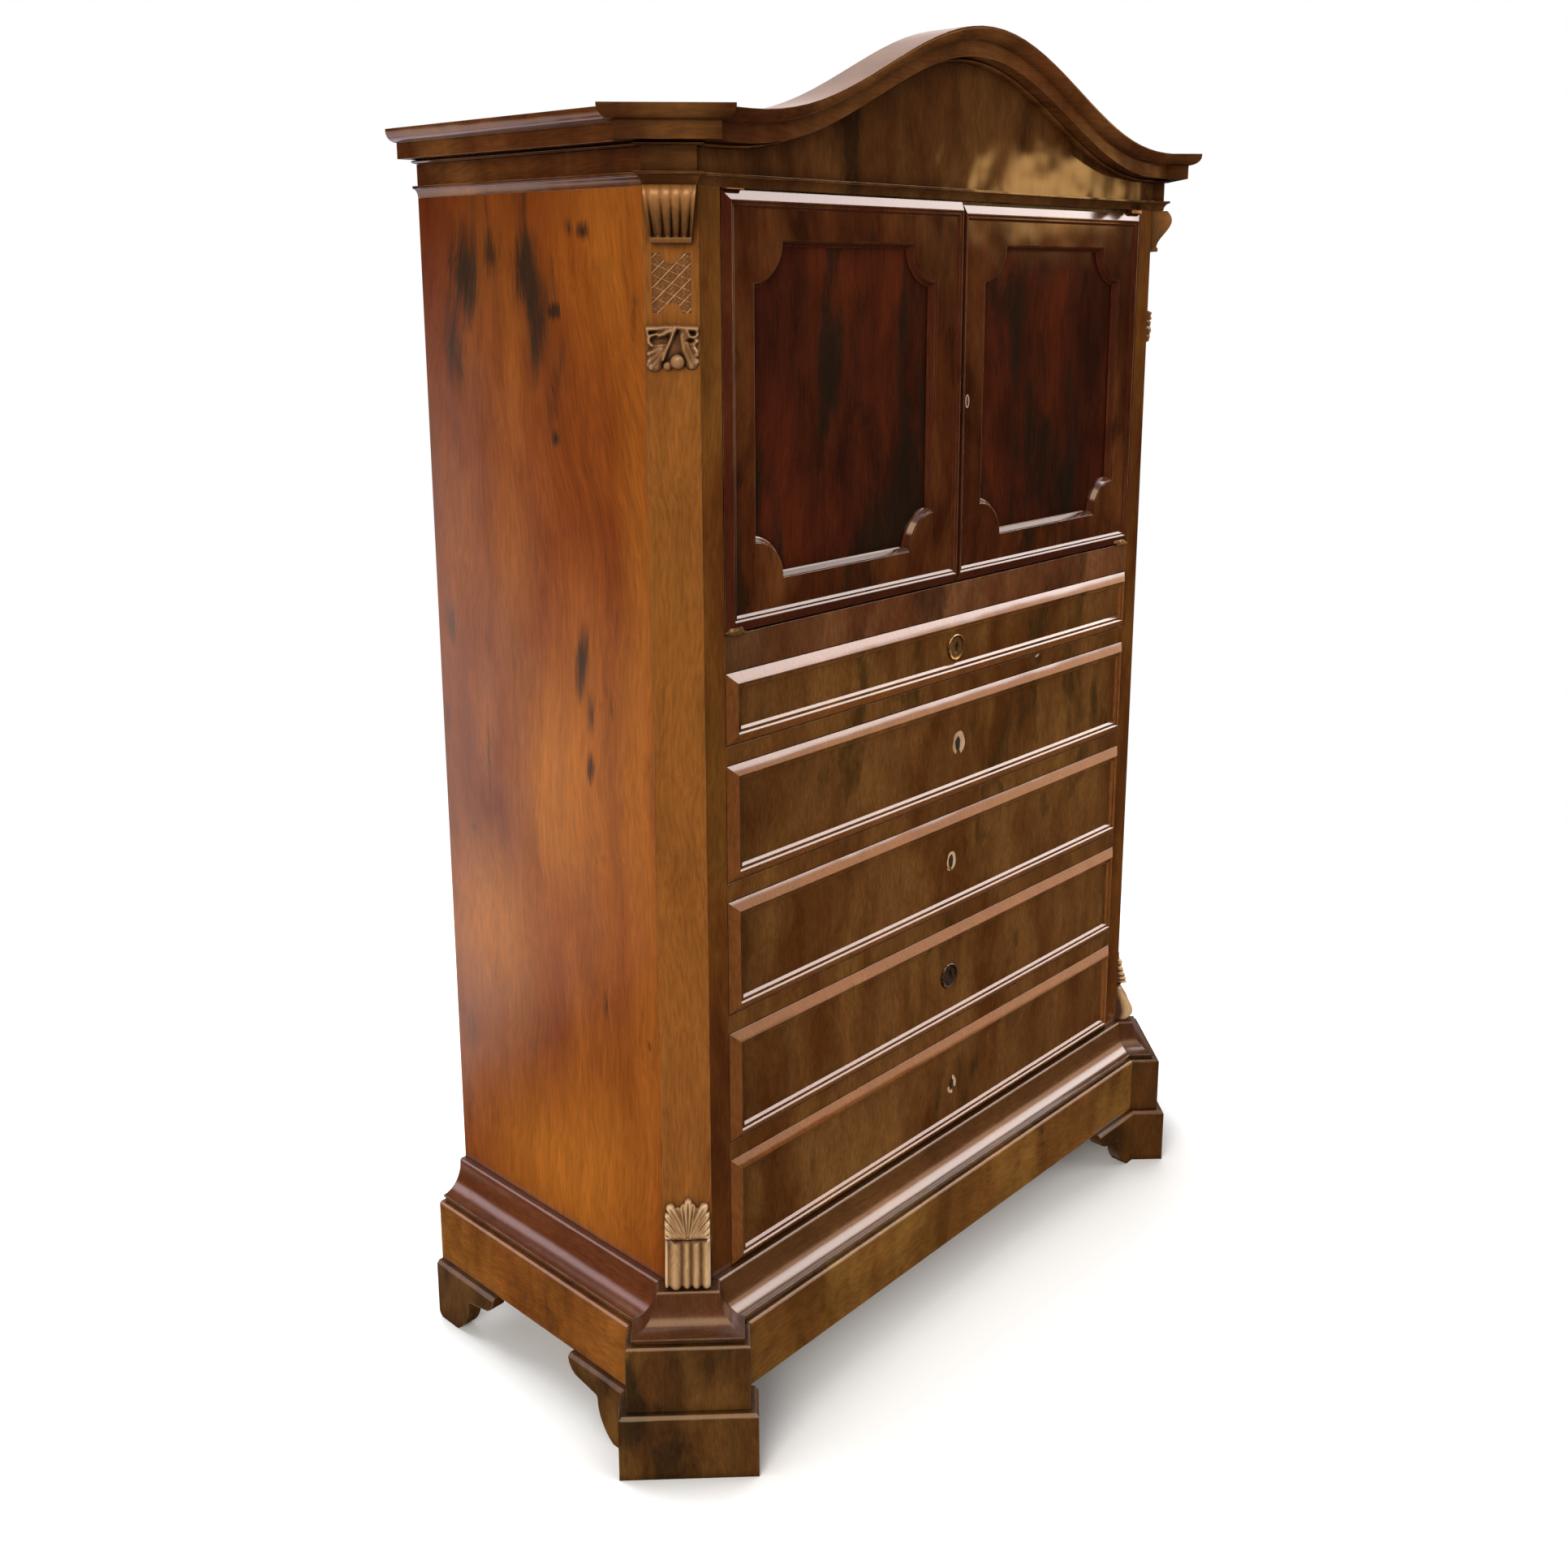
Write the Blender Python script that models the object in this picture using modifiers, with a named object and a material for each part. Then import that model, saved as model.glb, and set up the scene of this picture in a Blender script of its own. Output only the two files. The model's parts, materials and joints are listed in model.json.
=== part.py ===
"""A chiffonier: a two-door cupboard over one shallow and four deep drawers, with carved canted corners, a
plinth on bracket feet and a cornice that rises in an arch.

Metres, +Z up. The front faces -Y, and the origin is on the floor under the middle of the whole piece.
A moulding's outline is written as (out, height) pairs, where out is the distance in front of the case.
"""

import math

import bmesh
import bpy
from mathutils import Matrix, Vector

# Case
CASE_WIDTH = 1.024
CASE_DEPTH = 0.457
CANT = 0.042
STILE = 0.033
SIDE_BOARD = 0.020
BACK_BOARD = 0.012
TOP_BOARD = 0.020
FLOOR_BOARD = 0.018
SHELF_BOARD = 0.018
SHELF_SETBACK = 0.060
SHELF_DROP = 0.245

# Heights of the openings in the front
DRAWER_HEIGHT = 0.147
SHALLOW_DRAWER_HEIGHT = 0.089
DRAWER_RAIL = 0.023
CUPBOARD_RAIL = 0.044
CUPBOARD_RAIL_DEPTH = 0.022
CUPBOARD_HEIGHT = 0.500

# Corner blocks, broken forward from the cants
BLOCK_OUT = 0.0171

# Plinth and feet
FOOT_HEIGHT = 0.0865
FOOT_OUT = 0.0561
FOOT_BOARD = 0.022
FOOT_CHAMFER = 0.004
FOOT_BASE = 0.040
BACK_FOOT_BASE = 0.043
FOOT_CORNER = 0.010
SCALLOP_LENGTH = 0.029
SCALLOP_HEIGHT = 0.051
SCALLOP_SWEEP = 60
CUSP = 0.004
LOBE_LENGTH = 0.057
LOBE_RISE = 0.006
LOBE_ROUND = 0.022
WING_TIP = 0.004
BAND_HEIGHT = 0.0877
BAND_OUT = 0.0465
BAND_LIP = 0.0025
GROOVE_HEIGHT = 0.0045
GROOVE_OUT = 0.0365
COVE_HEIGHT = 0.038
COVE_OUT = 0.0395
COVE_FILLET = 0.0025
COVE_TOP_FILLET = 0.005
LEDGE_OUT = 0.0074
LEDGE_FILLET = 0.0021
FRAME_BOARD = 0.020

# Cornice
NECK_HEIGHT = 0.0135
NECK_OUT = 0.0076
NECK_FILLET = 0.003
FRIEZE_HEIGHT = 0.0265
BEAD_HEIGHT = 0.0046
BEAD_OUT = 0.0085
FASCIA_HEIGHT = 0.0192
FASCIA_OUT = 0.0272
CROWN_HEIGHT = 0.0155
CROWN_OUT = 0.0424
CROWN_FILLET = 0.0028
DUST_LID = 0.012
ARCH_RISE = 0.1275
ARCH_HALF = 0.440
ARCH_SHARPNESS = 1.15
ARCH_STEPS = 40

# Raised edges of the doors and drawers
EDGE_STEP_SHARE = 0.4

# Doors
DOOR_THICK = 0.020
DOOR_PROUD = 0.005
DOOR_CHAMFER = 0.0105
MEETING_CHAMFER = 0.002
DOOR_RIDGE = 0.0013
DOOR_STEP = 0.002
DOOR_FILLET = 0.002
DOOR_SLOPE = 0.003
DOOR_FIELD = 0.0008
DOOR_STILE = 0.050
DOOR_CROSS_RAIL = 0.053
RIGHT_DOOR_SHORT = 0.0035
HOLLOW_RADIUS = 0.047
PANEL_THICK = 0.009
PANEL_SUNK = 0.010
PANEL_MOULDING = 0.007
PANEL_LAP = 0.008
MEETING_GAP = 0.003
DOOR_HEAD_GAP = 0.002
DOOR_SILL_GAP = 0.0025
PIVOT_RADIUS = 0.005
PIVOT_PLATE = 0.026
LOCK_WIDTH = 0.040
LOCK_HEIGHT = 0.090
LOCK_THICK = 0.012

# Drawers
DRAWER_FRONT = 0.020
DRAWER_CHAMFER = 0.012
DRAWER_PROUD = 0.0085
DRAWER_RIDGE = 0.001
DRAWER_STEP = 0.0018
DRAWER_FILLET = 0.0034
DRAWER_SLOPE = 0.0028
DRAWER_FIELD = 0.003
DRAWER_WALL = 0.010
DRAWER_BOTTOM = 0.008
DRAWER_HEADROOM = 0.017
DRAWER_BACK_GAP = 0.012
KEY_PLATE_RADIUS = 0.018
KEY_PLATE_THICK = 0.0022
KEY_PLATE_RIM = 0.003

# Carving on the cants
CORBEL_HEIGHT = 0.0595
CORBEL_TOP_WIDTH = 0.057
CORBEL_FOOT_WIDTH = 0.044
CORBEL_DEPTH = 0.032
CORBEL_FOOT_DEPTH = 0.013
LATTICE_WIDTH = 0.043
LATTICE_HEIGHT = 0.064
LATTICE_DROP = 0.070
LATTICE_SUNK = 0.0015
LUNETTE_RADIUS = 0.0115
LEAF_DROP = 0.146
LEAF_HEIGHT = 0.0515
LEAF_WIDTH = 0.057
LEAF_DEPTH = 0.013
SCROLL_HEIGHT = 0.0625
SCROLL_WIDTH = 0.056
SCROLL_DEPTH = 0.030
SCROLL_NECK = 0.007
SHELL_HEIGHT = 0.055
SHELL_LIP = 0.016
FLUTES = 5
FLUTE_DEPTH = 0.0035

# Clearances
SEAT = 0.0003
DOOR_GAP = 0.0012
DRAWER_GAP = 0.0012
DRAWER_BOX_GAP = 0.003

# Places that follow from the sizes above
MITRE = math.tan(math.pi / 8)
DIAGONAL = math.sqrt(0.5)
HALF_WIDTH = CASE_WIDTH / 2
INNER_HALF = HALF_WIDTH - SIDE_BOARD
OPEN_HALF = HALF_WIDTH - CANT - STILE
FRONT_REACH = DIAGONAL * (BLOCK_OUT + 2 * max(FOOT_OUT, CROWN_OUT))
FRONT_Y = (FRONT_REACH - CASE_DEPTH) / 2
BACK_Y = FRONT_Y + CASE_DEPTH
POST_Y = FRONT_Y + CANT
PLINTH_Z = FOOT_HEIGHT + SEAT
GROOVE_Z = PLINTH_Z + BAND_HEIGHT
COVE_Z = GROOVE_Z + GROOVE_HEIGHT
CASE_Z = COVE_Z + COVE_FILLET + COVE_HEIGHT + COVE_TOP_FILLET
DRAWER_PITCH = DRAWER_HEIGHT + DRAWER_RAIL
SHALLOW_Z = CASE_Z + 4 * DRAWER_PITCH
RAIL_Z = SHALLOW_Z + SHALLOW_DRAWER_HEIGHT
CUPBOARD_Z = RAIL_Z + CUPBOARD_RAIL
CASE_TOP = CUPBOARD_Z + CUPBOARD_HEIGHT
NECK_Z = CASE_TOP + SEAT
FRIEZE_Z = NECK_Z + NECK_HEIGHT
CROWN_Z = FRIEZE_Z + FRIEZE_HEIGHT
FASCIA_Z = CROWN_Z + BEAD_HEIGHT
TOP_MOULDING_Z = FASCIA_Z + FASCIA_HEIGHT
CORNICE_TOP = TOP_MOULDING_Z + CROWN_HEIGHT
DOOR_Z = CUPBOARD_Z + DOOR_SILL_GAP
DOOR_TOP = CASE_TOP - DOOR_HEAD_GAP

for old in list(bpy.data.objects):
    bpy.data.objects.remove(old, do_unlink=True)

PARTS = bpy.data.collections.new("chiffonier")
CUTTERS = bpy.data.collections.new("cutters")
for group in (PARTS, CUTTERS):
    bpy.context.scene.collection.children.link(group)


# Helpers

def linear(channel):
    """One sRGB channel, 0 to 1, as the linear value that a shader takes."""
    return channel / 12.92 if channel <= 0.04045 else ((channel + 0.055) / 1.055) ** 2.4


def finish(name, colour, roughness, metallic=0.0):
    """A material with an sRGB hex colour."""
    material = bpy.data.materials.new(name)
    material.use_nodes = True
    shader = material.node_tree.nodes["Principled BSDF"]
    channels = [int(colour[k : k + 2], 16) / 255 for k in (0, 2, 4)]
    shader.inputs["Base Color"].default_value = (*map(linear, channels), 1.0)
    shader.inputs["Roughness"].default_value = roughness
    shader.inputs["Metallic"].default_value = metallic
    return material


def place(name, mesh, material, matrix=Matrix(), parent=None):
    """A part of the piece: its mesh, material and place, on the empty that carries it if it moves."""
    mesh.materials.clear()
    mesh.materials.append(material)
    mesh.shade_smooth()
    mesh.set_sharp_from_angle(angle=math.radians(32))
    part = bpy.data.objects.new(name, mesh)
    PARTS.objects.link(part)
    part.matrix_world = matrix
    if parent is not None:
        part.parent = parent
        part.matrix_parent_inverse = Matrix.Translation(-parent.location)
    return part


def pivot(name, place_at):
    """An empty on a joint's axis, which carries the pieces that move together."""
    empty = bpy.data.objects.new(name, None)
    empty.location = place_at
    empty.empty_display_size = 0.05
    PARTS.objects.link(empty)
    return empty


def cut(part, cutter):
    """Takes the cutter away from the part."""
    PARTS.objects.unlink(cutter)
    CUTTERS.objects.link(cutter)
    cutter.hide_render = True
    cutter.display_type = "WIRE"
    boolean = part.modifiers.new(cutter.name, "BOOLEAN")
    boolean.operation = "DIFFERENCE"
    boolean.solver = "EXACT"
    boolean.object = cutter


def box(name, low, high, material, parent=None):
    """A board between two corners."""
    low, high = Vector(low), Vector(high)
    bm = bmesh.new()
    bmesh.ops.create_cube(bm, size=1.0)
    bmesh.ops.scale(bm, vec=high - low, verts=bm.verts)
    mesh = bpy.data.meshes.new(name)
    bm.to_mesh(mesh)
    bm.free()
    return place(name, mesh, material, Matrix.Translation((low + high) / 2), parent)


def loft(name, rings, material, matrix=Matrix(), parent=None):
    """A closed body through rings of equally many points, with flat ends."""
    bm = bmesh.new()
    loops = [[bm.verts.new(point) for point in ring] for ring in rings]
    for low, high in zip(loops, loops[1:]):
        for k in range(len(low)):
            bm.faces.new((low[k - 1], low[k], high[k], high[k - 1]))
    bm.faces.new(loops[0])
    bm.faces.new(loops[-1])
    bmesh.ops.recalc_face_normals(bm, faces=bm.faces)
    mesh = bpy.data.meshes.new(name)
    bm.to_mesh(mesh)
    bm.free()
    return place(name, mesh, material, matrix, parent)


def slab(name, outline, thick, material, matrix=Matrix(), parent=None):
    """A flat outline in X and Y, thick along Z about its plane."""
    curve = bpy.data.curves.new(name, "CURVE")
    curve.dimensions = "2D"
    curve.fill_mode = "BOTH"
    curve.extrude = thick / 2
    spline = curve.splines.new("POLY")
    spline.points.add(len(outline) - 1)
    for point, (x, y) in zip(spline.points, outline):
        point.co = (x, y, 0, 1)
    spline.use_cyclic_u = True
    guide = bpy.data.objects.new(name, curve)
    PARTS.objects.link(guide)
    mesh = bpy.data.meshes.new_from_object(guide.evaluated_get(bpy.context.evaluated_depsgraph_get()))
    bpy.data.objects.remove(guide)
    bm = bmesh.new()
    bm.from_mesh(mesh)
    bmesh.ops.remove_doubles(bm, verts=bm.verts, dist=1e-6)
    bm.to_mesh(mesh)
    bm.free()
    return place(name, mesh, material, matrix, parent)


def arc(centre, radii, start, end, steps):
    """Points of an ellipse about a centre, from one angle to another in degrees."""
    turns = [math.radians(start + (end - start) * k / steps) for k in range(steps + 1)]
    return [(centre[0] + radii[0] * math.cos(a), centre[1] + radii[1] * math.sin(a)) for a in turns]


def mirrored(rings):
    return [[(-x, y, z) for x, y, z in ring] for ring in rings]


def ease(t):
    """0 to 1 with level ends."""
    t = min(max(t, 0.0), 1.0)
    return t * t * (3 - 2 * t)


# Plan of the mouldings

def corner_plan(out):
    """The left corner in plan, set out from the case: where the side, the return, the block's cant, its
    other return and the front meet."""
    x, y = -HALF_WIDTH, FRONT_Y
    reach = DIAGONAL * (BLOCK_OUT + 2 * out)
    shoulder = CANT - DIAGONAL * BLOCK_OUT
    return [
        (x - out, y + CANT + MITRE * out),
        (x - reach, y + shoulder),
        (x + shoulder, y - reach),
        (x + CANT + MITRE * out, y - out),
    ]


def side_run(name, profile, material, left=True):
    """A moulding along one side of the case, from the back to the corner block, mitred there."""
    ends = []
    for at_back in (True, False):
        ring = []
        for out, z in profile:
            x, y = corner_plan(out)[0]
            ring.append((x, BACK_Y if at_back else y + SEAT, z))
        ends.append(ring)
    return loft(name, ends if left else mirrored(ends), material)


def front_run(name, profile, material, rise=None, steps=1):
    """A moulding along the front between the corner blocks. With a rise, each section is lifted by it."""
    rings = []
    for k in range(steps + 1):
        ring = []
        for out, z, lifted in profile:
            x = (2 * k / steps - 1) * -(corner_plan(out)[3][0] + SEAT)
            ring.append((x, FRONT_Y - out, z + (rise(x) if rise and lifted else 0.0)))
        rings.append(ring)
    return loft(name, rings, material)


def corner_block(name, profile, inner, material, left=True):
    """A solid corner block whose outline follows the same moulding, backed by the frame's inner line."""
    first, last = corner_plan(inner)[0], corner_plan(inner)[3]
    rings = []
    for out, z in profile:
        rings.append([(x, y, z) for x, y in [first, *corner_plan(out), last]])
    return loft(name, rings if left else mirrored(rings), material)


def backed(profile, inner):
    """A moulding's face closed by a flat back."""
    return [(inner, profile[0][1]), *profile, (inner, profile[-1][1])]


# Moulding outlines, from the bottom up

def plinth_profile():
    cove_base = COVE_Z + COVE_FILLET
    cove_top = cove_base + COVE_HEIGHT
    top_out = LEDGE_OUT + LEDGE_FILLET
    cove = arc((COVE_OUT, cove_top), (COVE_OUT - top_out, COVE_HEIGHT), 270, 180, 8)
    return [
        (BAND_OUT, PLINTH_Z),
        (BAND_OUT, GROOVE_Z - BAND_LIP),
        (BAND_OUT - BAND_LIP, GROOVE_Z),
        (GROOVE_OUT, GROOVE_Z),
        (GROOVE_OUT, COVE_Z),
        (COVE_OUT, COVE_Z),
        *cove,
        (top_out, CASE_Z - LEDGE_FILLET),
        (LEDGE_OUT, CASE_Z),
    ]


def frieze_profile():
    neck_top = FRIEZE_Z - NECK_FILLET
    flare = arc((NECK_OUT, NECK_Z), (NECK_OUT, neck_top - NECK_Z), 180, 90, 4)
    return [*flare, (NECK_OUT, FRIEZE_Z), (0.0, FRIEZE_Z), (0.0, CROWN_Z - SEAT)]


def crown_profile():
    bead = arc((0.0, CROWN_Z + BEAD_HEIGHT / 2), (BEAD_OUT, BEAD_HEIGHT / 2), -90, 90, 4)
    lip = CORNICE_TOP - CROWN_FILLET
    ovolo_in = FASCIA_OUT + CROWN_FILLET / 2
    ovolo = arc((ovolo_in, lip), (CROWN_OUT - ovolo_in, lip - TOP_MOULDING_Z), -90, 0, 5)
    return [
        *bead,
        (FASCIA_OUT, FASCIA_Z),
        (FASCIA_OUT, TOP_MOULDING_Z),
        *ovolo,
        (CROWN_OUT, CORNICE_TOP),
    ]


def moulded_edge(chamfer, ridge, step, fillet, slope, proud, field):
    """The raised edge of a door or drawer from its rim inwards: a chamfer up to the ridge, a narrow step, a
    fillet and a slope down to the field. Pairs of (inset, out)."""
    fillet_out = proud - EDGE_STEP_SHARE * (proud - field)
    runs = (
        (chamfer, proud),
        (ridge, proud),
        (step, fillet_out),
        (fillet, fillet_out),
        (slope, field),
    )
    edge = [(0.0, 0.0)]
    for run, out in runs:
        edge.append((edge[-1][0] + run, out))
    return edge


def arch(x):
    """Height of the cornice's serpentine arch over its level ends."""
    share = min(abs(x) / ARCH_HALF, 1.0)
    return ARCH_RISE * (0.5 + 0.5 * math.cos(math.pi * share)) ** ARCH_SHARPNESS


# Finishes

SIDE = finish("side_veneer", "8E5322", 0.32)
FRONT = finish("front_veneer", "5F4020", 0.34)
DOOR = finish("door_veneer", "4A2A16", 0.30)
PANEL = finish("panel_veneer", "3E1C11", 0.28)
MOULDING = finish("moulding_wood", "5A3219", 0.33)
BASE = finish("plinth_veneer", "63421C", 0.36)
CARVING = finish("carved_wood", "7D5730", 0.48)
INSIDE = finish("inside_wood", "A07C50", 0.62)
BRASS = finish("brass", "A88858", 0.38, 1.0)
BRONZE = finish("dark_bronze", "5A4E44", 0.45, 1.0)


# Case

def board_outline(front_y, back_y, half, notch_half, notch_y):
    """A board in plan whose front corners are notched round the posts."""
    return [
        (-half, back_y),
        (-half, notch_y),
        (-notch_half, notch_y),
        (-notch_half, front_y),
        (notch_half, front_y),
        (notch_half, notch_y),
        (half, notch_y),
        (half, back_y),
    ]


def case_board(name, low, high, front_y, material):
    """A board across the case, between the sides, the posts and the back."""
    outline = board_outline(
        front_y,
        BACK_Y - BACK_BOARD - SEAT,
        INNER_HALF - SEAT,
        OPEN_HALF - SEAT,
        POST_Y + SEAT,
    )
    return slab(name, outline, high - low, material, Matrix.Translation((0, 0, (low + high) / 2)))


def frame_board(name, low, high, material):
    """A board inside the plinth's or the cornice's frame, its front corners clipped by the blocks."""
    clip = corner_plan(-FRAME_BOARD)
    back_y = BACK_Y - BACK_BOARD - SEAT
    left = [
        (clip[0][0] + SEAT, back_y),
        (clip[0][0] + SEAT, clip[0][1] + SEAT),
        (clip[3][0] + SEAT, clip[3][1] + SEAT),
    ]
    outline = left + [(-x, y) for x, y in reversed(left)]
    return slab(name, outline, high - low, material, Matrix.Translation((0, 0, (low + high) / 2)))


def cant_matrix(left, z):
    """A frame on the cant: X across it to the right, Y up, Z out of it."""
    sign = -1.0 if left else 1.0
    across = Vector((DIAGONAL, sign * DIAGONAL, 0))
    up = Vector((0, 0, 1))
    matrix = Matrix((across, up, across.cross(up))).transposed().to_4x4()
    matrix.translation = (sign * (HALF_WIDTH - CANT / 2), FRONT_Y + CANT / 2, z)
    return matrix


def corner_post(name, left):
    sign = -1.0 if left else 1.0
    plan = [
        (HALF_WIDTH, POST_Y),
        (HALF_WIDTH - CANT, FRONT_Y),
        (OPEN_HALF, FRONT_Y),
        (OPEN_HALF, POST_Y),
    ]
    height = CASE_TOP - CASE_Z - SEAT
    middle = Matrix.Translation((0, 0, CASE_Z + SEAT + height / 2))
    post = slab(name, [(sign * x, y) for x, y in plan], height, FRONT, middle)
    half_x, half_y = LATTICE_WIDTH / 2, LATTICE_HEIGHT / 2
    round_off = (LUNETTE_RADIUS, LUNETTE_RADIUS)
    lower = [(-half_x, -half_y), *arc((0.0, -half_y), round_off, 180, 0, 10), (half_x, -half_y)]
    upper = [(half_x, half_y), *arc((0.0, half_y), round_off, 360, 180, 10), (-half_x, half_y)]
    lattice_z = CASE_TOP - LATTICE_DROP - half_y
    sunk = cant_matrix(left, lattice_z)
    cut(post, slab(name + "_sunk_field", lower + upper, 2 * LATTICE_SUNK, CARVING, sunk))
    return post


def build_case():
    for side, sign in (("left", -1), ("right", 1)):
        edges = sorted((sign * INNER_HALF, sign * HALF_WIDTH))
        low = (edges[0], POST_Y + SEAT, CASE_Z + SEAT)
        box(f"{side}_side_panel", low, (edges[1], BACK_Y, CASE_TOP), SIDE)
        corner_post(f"{side}_corner_post", side == "left")
    frame_board("bottom_board", CASE_Z - FLOOR_BOARD, CASE_Z, INSIDE)
    # The door's back corner swings a little deeper than the door is thick.
    door_back = FRONT_Y + math.hypot(DOOR_THICK, PIVOT_RADIUS) + SEAT
    case_board("top_board", CASE_TOP - TOP_BOARD, CASE_TOP, door_back, INSIDE)
    rail_back = FRONT_Y + CUPBOARD_RAIL_DEPTH
    rail_half = OPEN_HALF - SEAT
    box("cupboard_rail", (-rail_half, FRONT_Y, RAIL_Z), (rail_half, rail_back, CUPBOARD_Z), FRONT)
    case_board("cupboard_floor", CUPBOARD_Z - FLOOR_BOARD, CUPBOARD_Z, rail_back + SEAT, INSIDE)
    shelf_top = CASE_TOP - SHELF_DROP
    case_board("cupboard_shelf", shelf_top - SHELF_BOARD, shelf_top, FRONT_Y + SHELF_SETBACK, INSIDE)
    for k in range(4):
        high = SHALLOW_Z - k * DRAWER_PITCH
        case_board(f"dust_board_{k + 1}", high - DRAWER_RAIL, high, FRONT_Y, FRONT)
    back_half = INNER_HALF - SEAT
    low = (-back_half, BACK_Y - BACK_BOARD, CASE_Z + SEAT)
    box("back_panel", low, (back_half, BACK_Y, CORNICE_TOP), INSIDE)


# Plinth

def foot_profile():
    """How the under edge of a foot's wing rises with the distance from the foot's base: a scallop that grows
    steeper, a cusp and a lobed tip. Pairs of (distance, height)."""
    sweep = math.radians(SCALLOP_SWEEP)
    reach = SCALLOP_LENGTH / (1 - math.cos(sweep))
    radii = (reach, SCALLOP_HEIGHT / math.sin(sweep))
    scallop = arc((SCALLOP_LENGTH - reach, SCALLOP_HEIGHT), radii, -SCALLOP_SWEEP, 0, 8)
    lobe_start = SCALLOP_HEIGHT + CUSP
    lobe_end = min(lobe_start + LOBE_RISE, FOOT_HEIGHT - 2 * WING_TIP)
    tip_start = SCALLOP_LENGTH + LOBE_LENGTH - LOBE_ROUND
    tip_rise = FOOT_HEIGHT - WING_TIP - lobe_end
    tip = arc((tip_start, lobe_end + tip_rise), (LOBE_ROUND, tip_rise), 270, 360, 4)
    return [*scallop, (SCALLOP_LENGTH + CUSP / 2, lobe_start), *tip]


def foot_section(path_point, under):
    """A foot board's section, from its under edge to its chamfered top. path_point gives each place in plan."""
    inner = FOOT_OUT - FOOT_BOARD
    section = [
        (inner, under),
        (FOOT_OUT, under),
        (FOOT_OUT, FOOT_HEIGHT - FOOT_CHAMFER),
        (FOOT_OUT - FOOT_CHAMFER, FOOT_HEIGHT),
        (inner, FOOT_HEIGHT),
    ]
    return [(*path_point(out), z) for out, z in section]


def front_foot(name, left, front_wing):
    """A foot of mitred boards round the corner block, with a scalloped wing along the side and, unless it is
    lost, one along the front."""
    rings = []
    for distance, under in reversed(foot_profile()):
        y = POST_Y + FOOT_BASE + distance
        rings.append(foot_section(lambda out, y=y: (-HALF_WIDTH - out, y), under))
    for corner in range(4):
        rings.append(foot_section(lambda out, k=corner: corner_plan(out)[k], 0.0))
    for distance, under in foot_profile() if front_wing else ():
        x = CANT - HALF_WIDTH + FOOT_BASE + distance
        rings.append(foot_section(lambda out, x=x: (x, FRONT_Y - out), under))
    return loft(name, rings if left else mirrored(rings), BASE)


def back_foot(name, left):
    """A foot board along the side at the back, rounded at its heel."""
    heel = arc((FOOT_CORNER, FOOT_CORNER), (FOOT_CORNER, FOOT_CORNER), 180, 270, 4)
    under_edge = heel + [(BACK_FOOT_BASE + run, z) for run, z in foot_profile()]
    rings = []
    for distance, under in under_edge:
        y = BACK_Y - distance
        rings.append(foot_section(lambda out, y=y: (-HALF_WIDTH - out, y), under))
    return loft(name, rings if left else mirrored(rings), BASE)


def build_plinth():
    face = plinth_profile()
    closed = backed(face, -FRAME_BOARD)
    front_run("plinth_front", [(out, z, False) for out, z in closed], BASE)
    for side in ("left", "right"):
        left = side == "left"
        side_run(f"plinth_{side}", closed, BASE, left)
        corner_block(f"{side}_plinth_block", face, -FRAME_BOARD, BASE, left)
        front_foot(f"front_{side}_foot", left, front_wing=not left)
        back_foot(f"back_{side}_foot", left)
    half = INNER_HALF - SEAT
    back_top = CASE_Z - FLOOR_BOARD - SEAT
    box("plinth_back", (-half, BACK_Y - FRAME_BOARD, PLINTH_Z), (half, BACK_Y, back_top), INSIDE)


# Cornice

def build_cornice():
    frieze, crown = frieze_profile(), crown_profile()
    board = backed(frieze, -FRAME_BOARD)
    top_edge = frieze[-1][1]
    front_board = [(out, z, z == top_edge) for out, z in board]
    front_run("frieze_front", front_board, FRONT, arch, ARCH_STEPS)
    front_crown = [(out, z, True) for out, z in backed(crown, -FRAME_BOARD)]
    front_run("crown_front", front_crown, MOULDING, arch, ARCH_STEPS)
    for side in ("left", "right"):
        left = side == "left"
        side_run(f"frieze_{side}", board, SIDE, left)
        side_run(f"crown_{side}", backed(crown, -FRAME_BOARD), MOULDING, left)
        corner_block(f"{side}_cornice_block", frieze + crown, -FRAME_BOARD, MOULDING, left)
    frame_board("cornice_dust_board", CORNICE_TOP - DUST_LID, CORNICE_TOP, INSIDE)


# Carving

def relief(name, left, base_z, height, half_width, depth, across, rows, columns=20):
    """A carving on the cant: level sections from the foot up. half_width and depth follow the share of the
    height, across gives the share of the depth at each place from edge to edge (-1 to 1)."""
    rings = []
    for row in range(rows + 1):
        v = row / rows
        width = half_width(v)
        ring = []
        for column in range(columns + 1):
            s = 2 * column / columns - 1
            ring.append((width * s, v * height, SEAT + depth(v) * across(s, v)))
        ring += [(width, v * height, SEAT), (-width, v * height, SEAT)]
        rings.append(ring)
    return loft(name, rings, CARVING, cant_matrix(left, base_z))


def fluted(s, depth):
    """Round ribs side by side, sunk by the flute's depth between them."""
    return 1.0 - FLUTE_DEPTH / depth * (1.0 - abs(math.cos(FLUTES * math.pi * s / 2)))


def corbel(name, left):
    """A scroll that swells under the cornice block and tapers to a fillet at its foot."""
    def depth(v):
        swell = ease((v - 0.08) / 0.65)
        shrink = 0.2 * CORBEL_DEPTH * max(0.0, (v - 0.73) / 0.27) ** 2
        return CORBEL_FOOT_DEPTH + (CORBEL_DEPTH - CORBEL_FOOT_DEPTH) * swell - shrink

    def half_width(v):
        return (CORBEL_FOOT_WIDTH + (CORBEL_TOP_WIDTH - CORBEL_FOOT_WIDTH) * v) / 2

    base = CASE_TOP - CORBEL_HEIGHT
    return relief(name, left, base, CORBEL_HEIGHT, half_width, depth, lambda s, v: fluted(s, depth(v)), 14)


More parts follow.
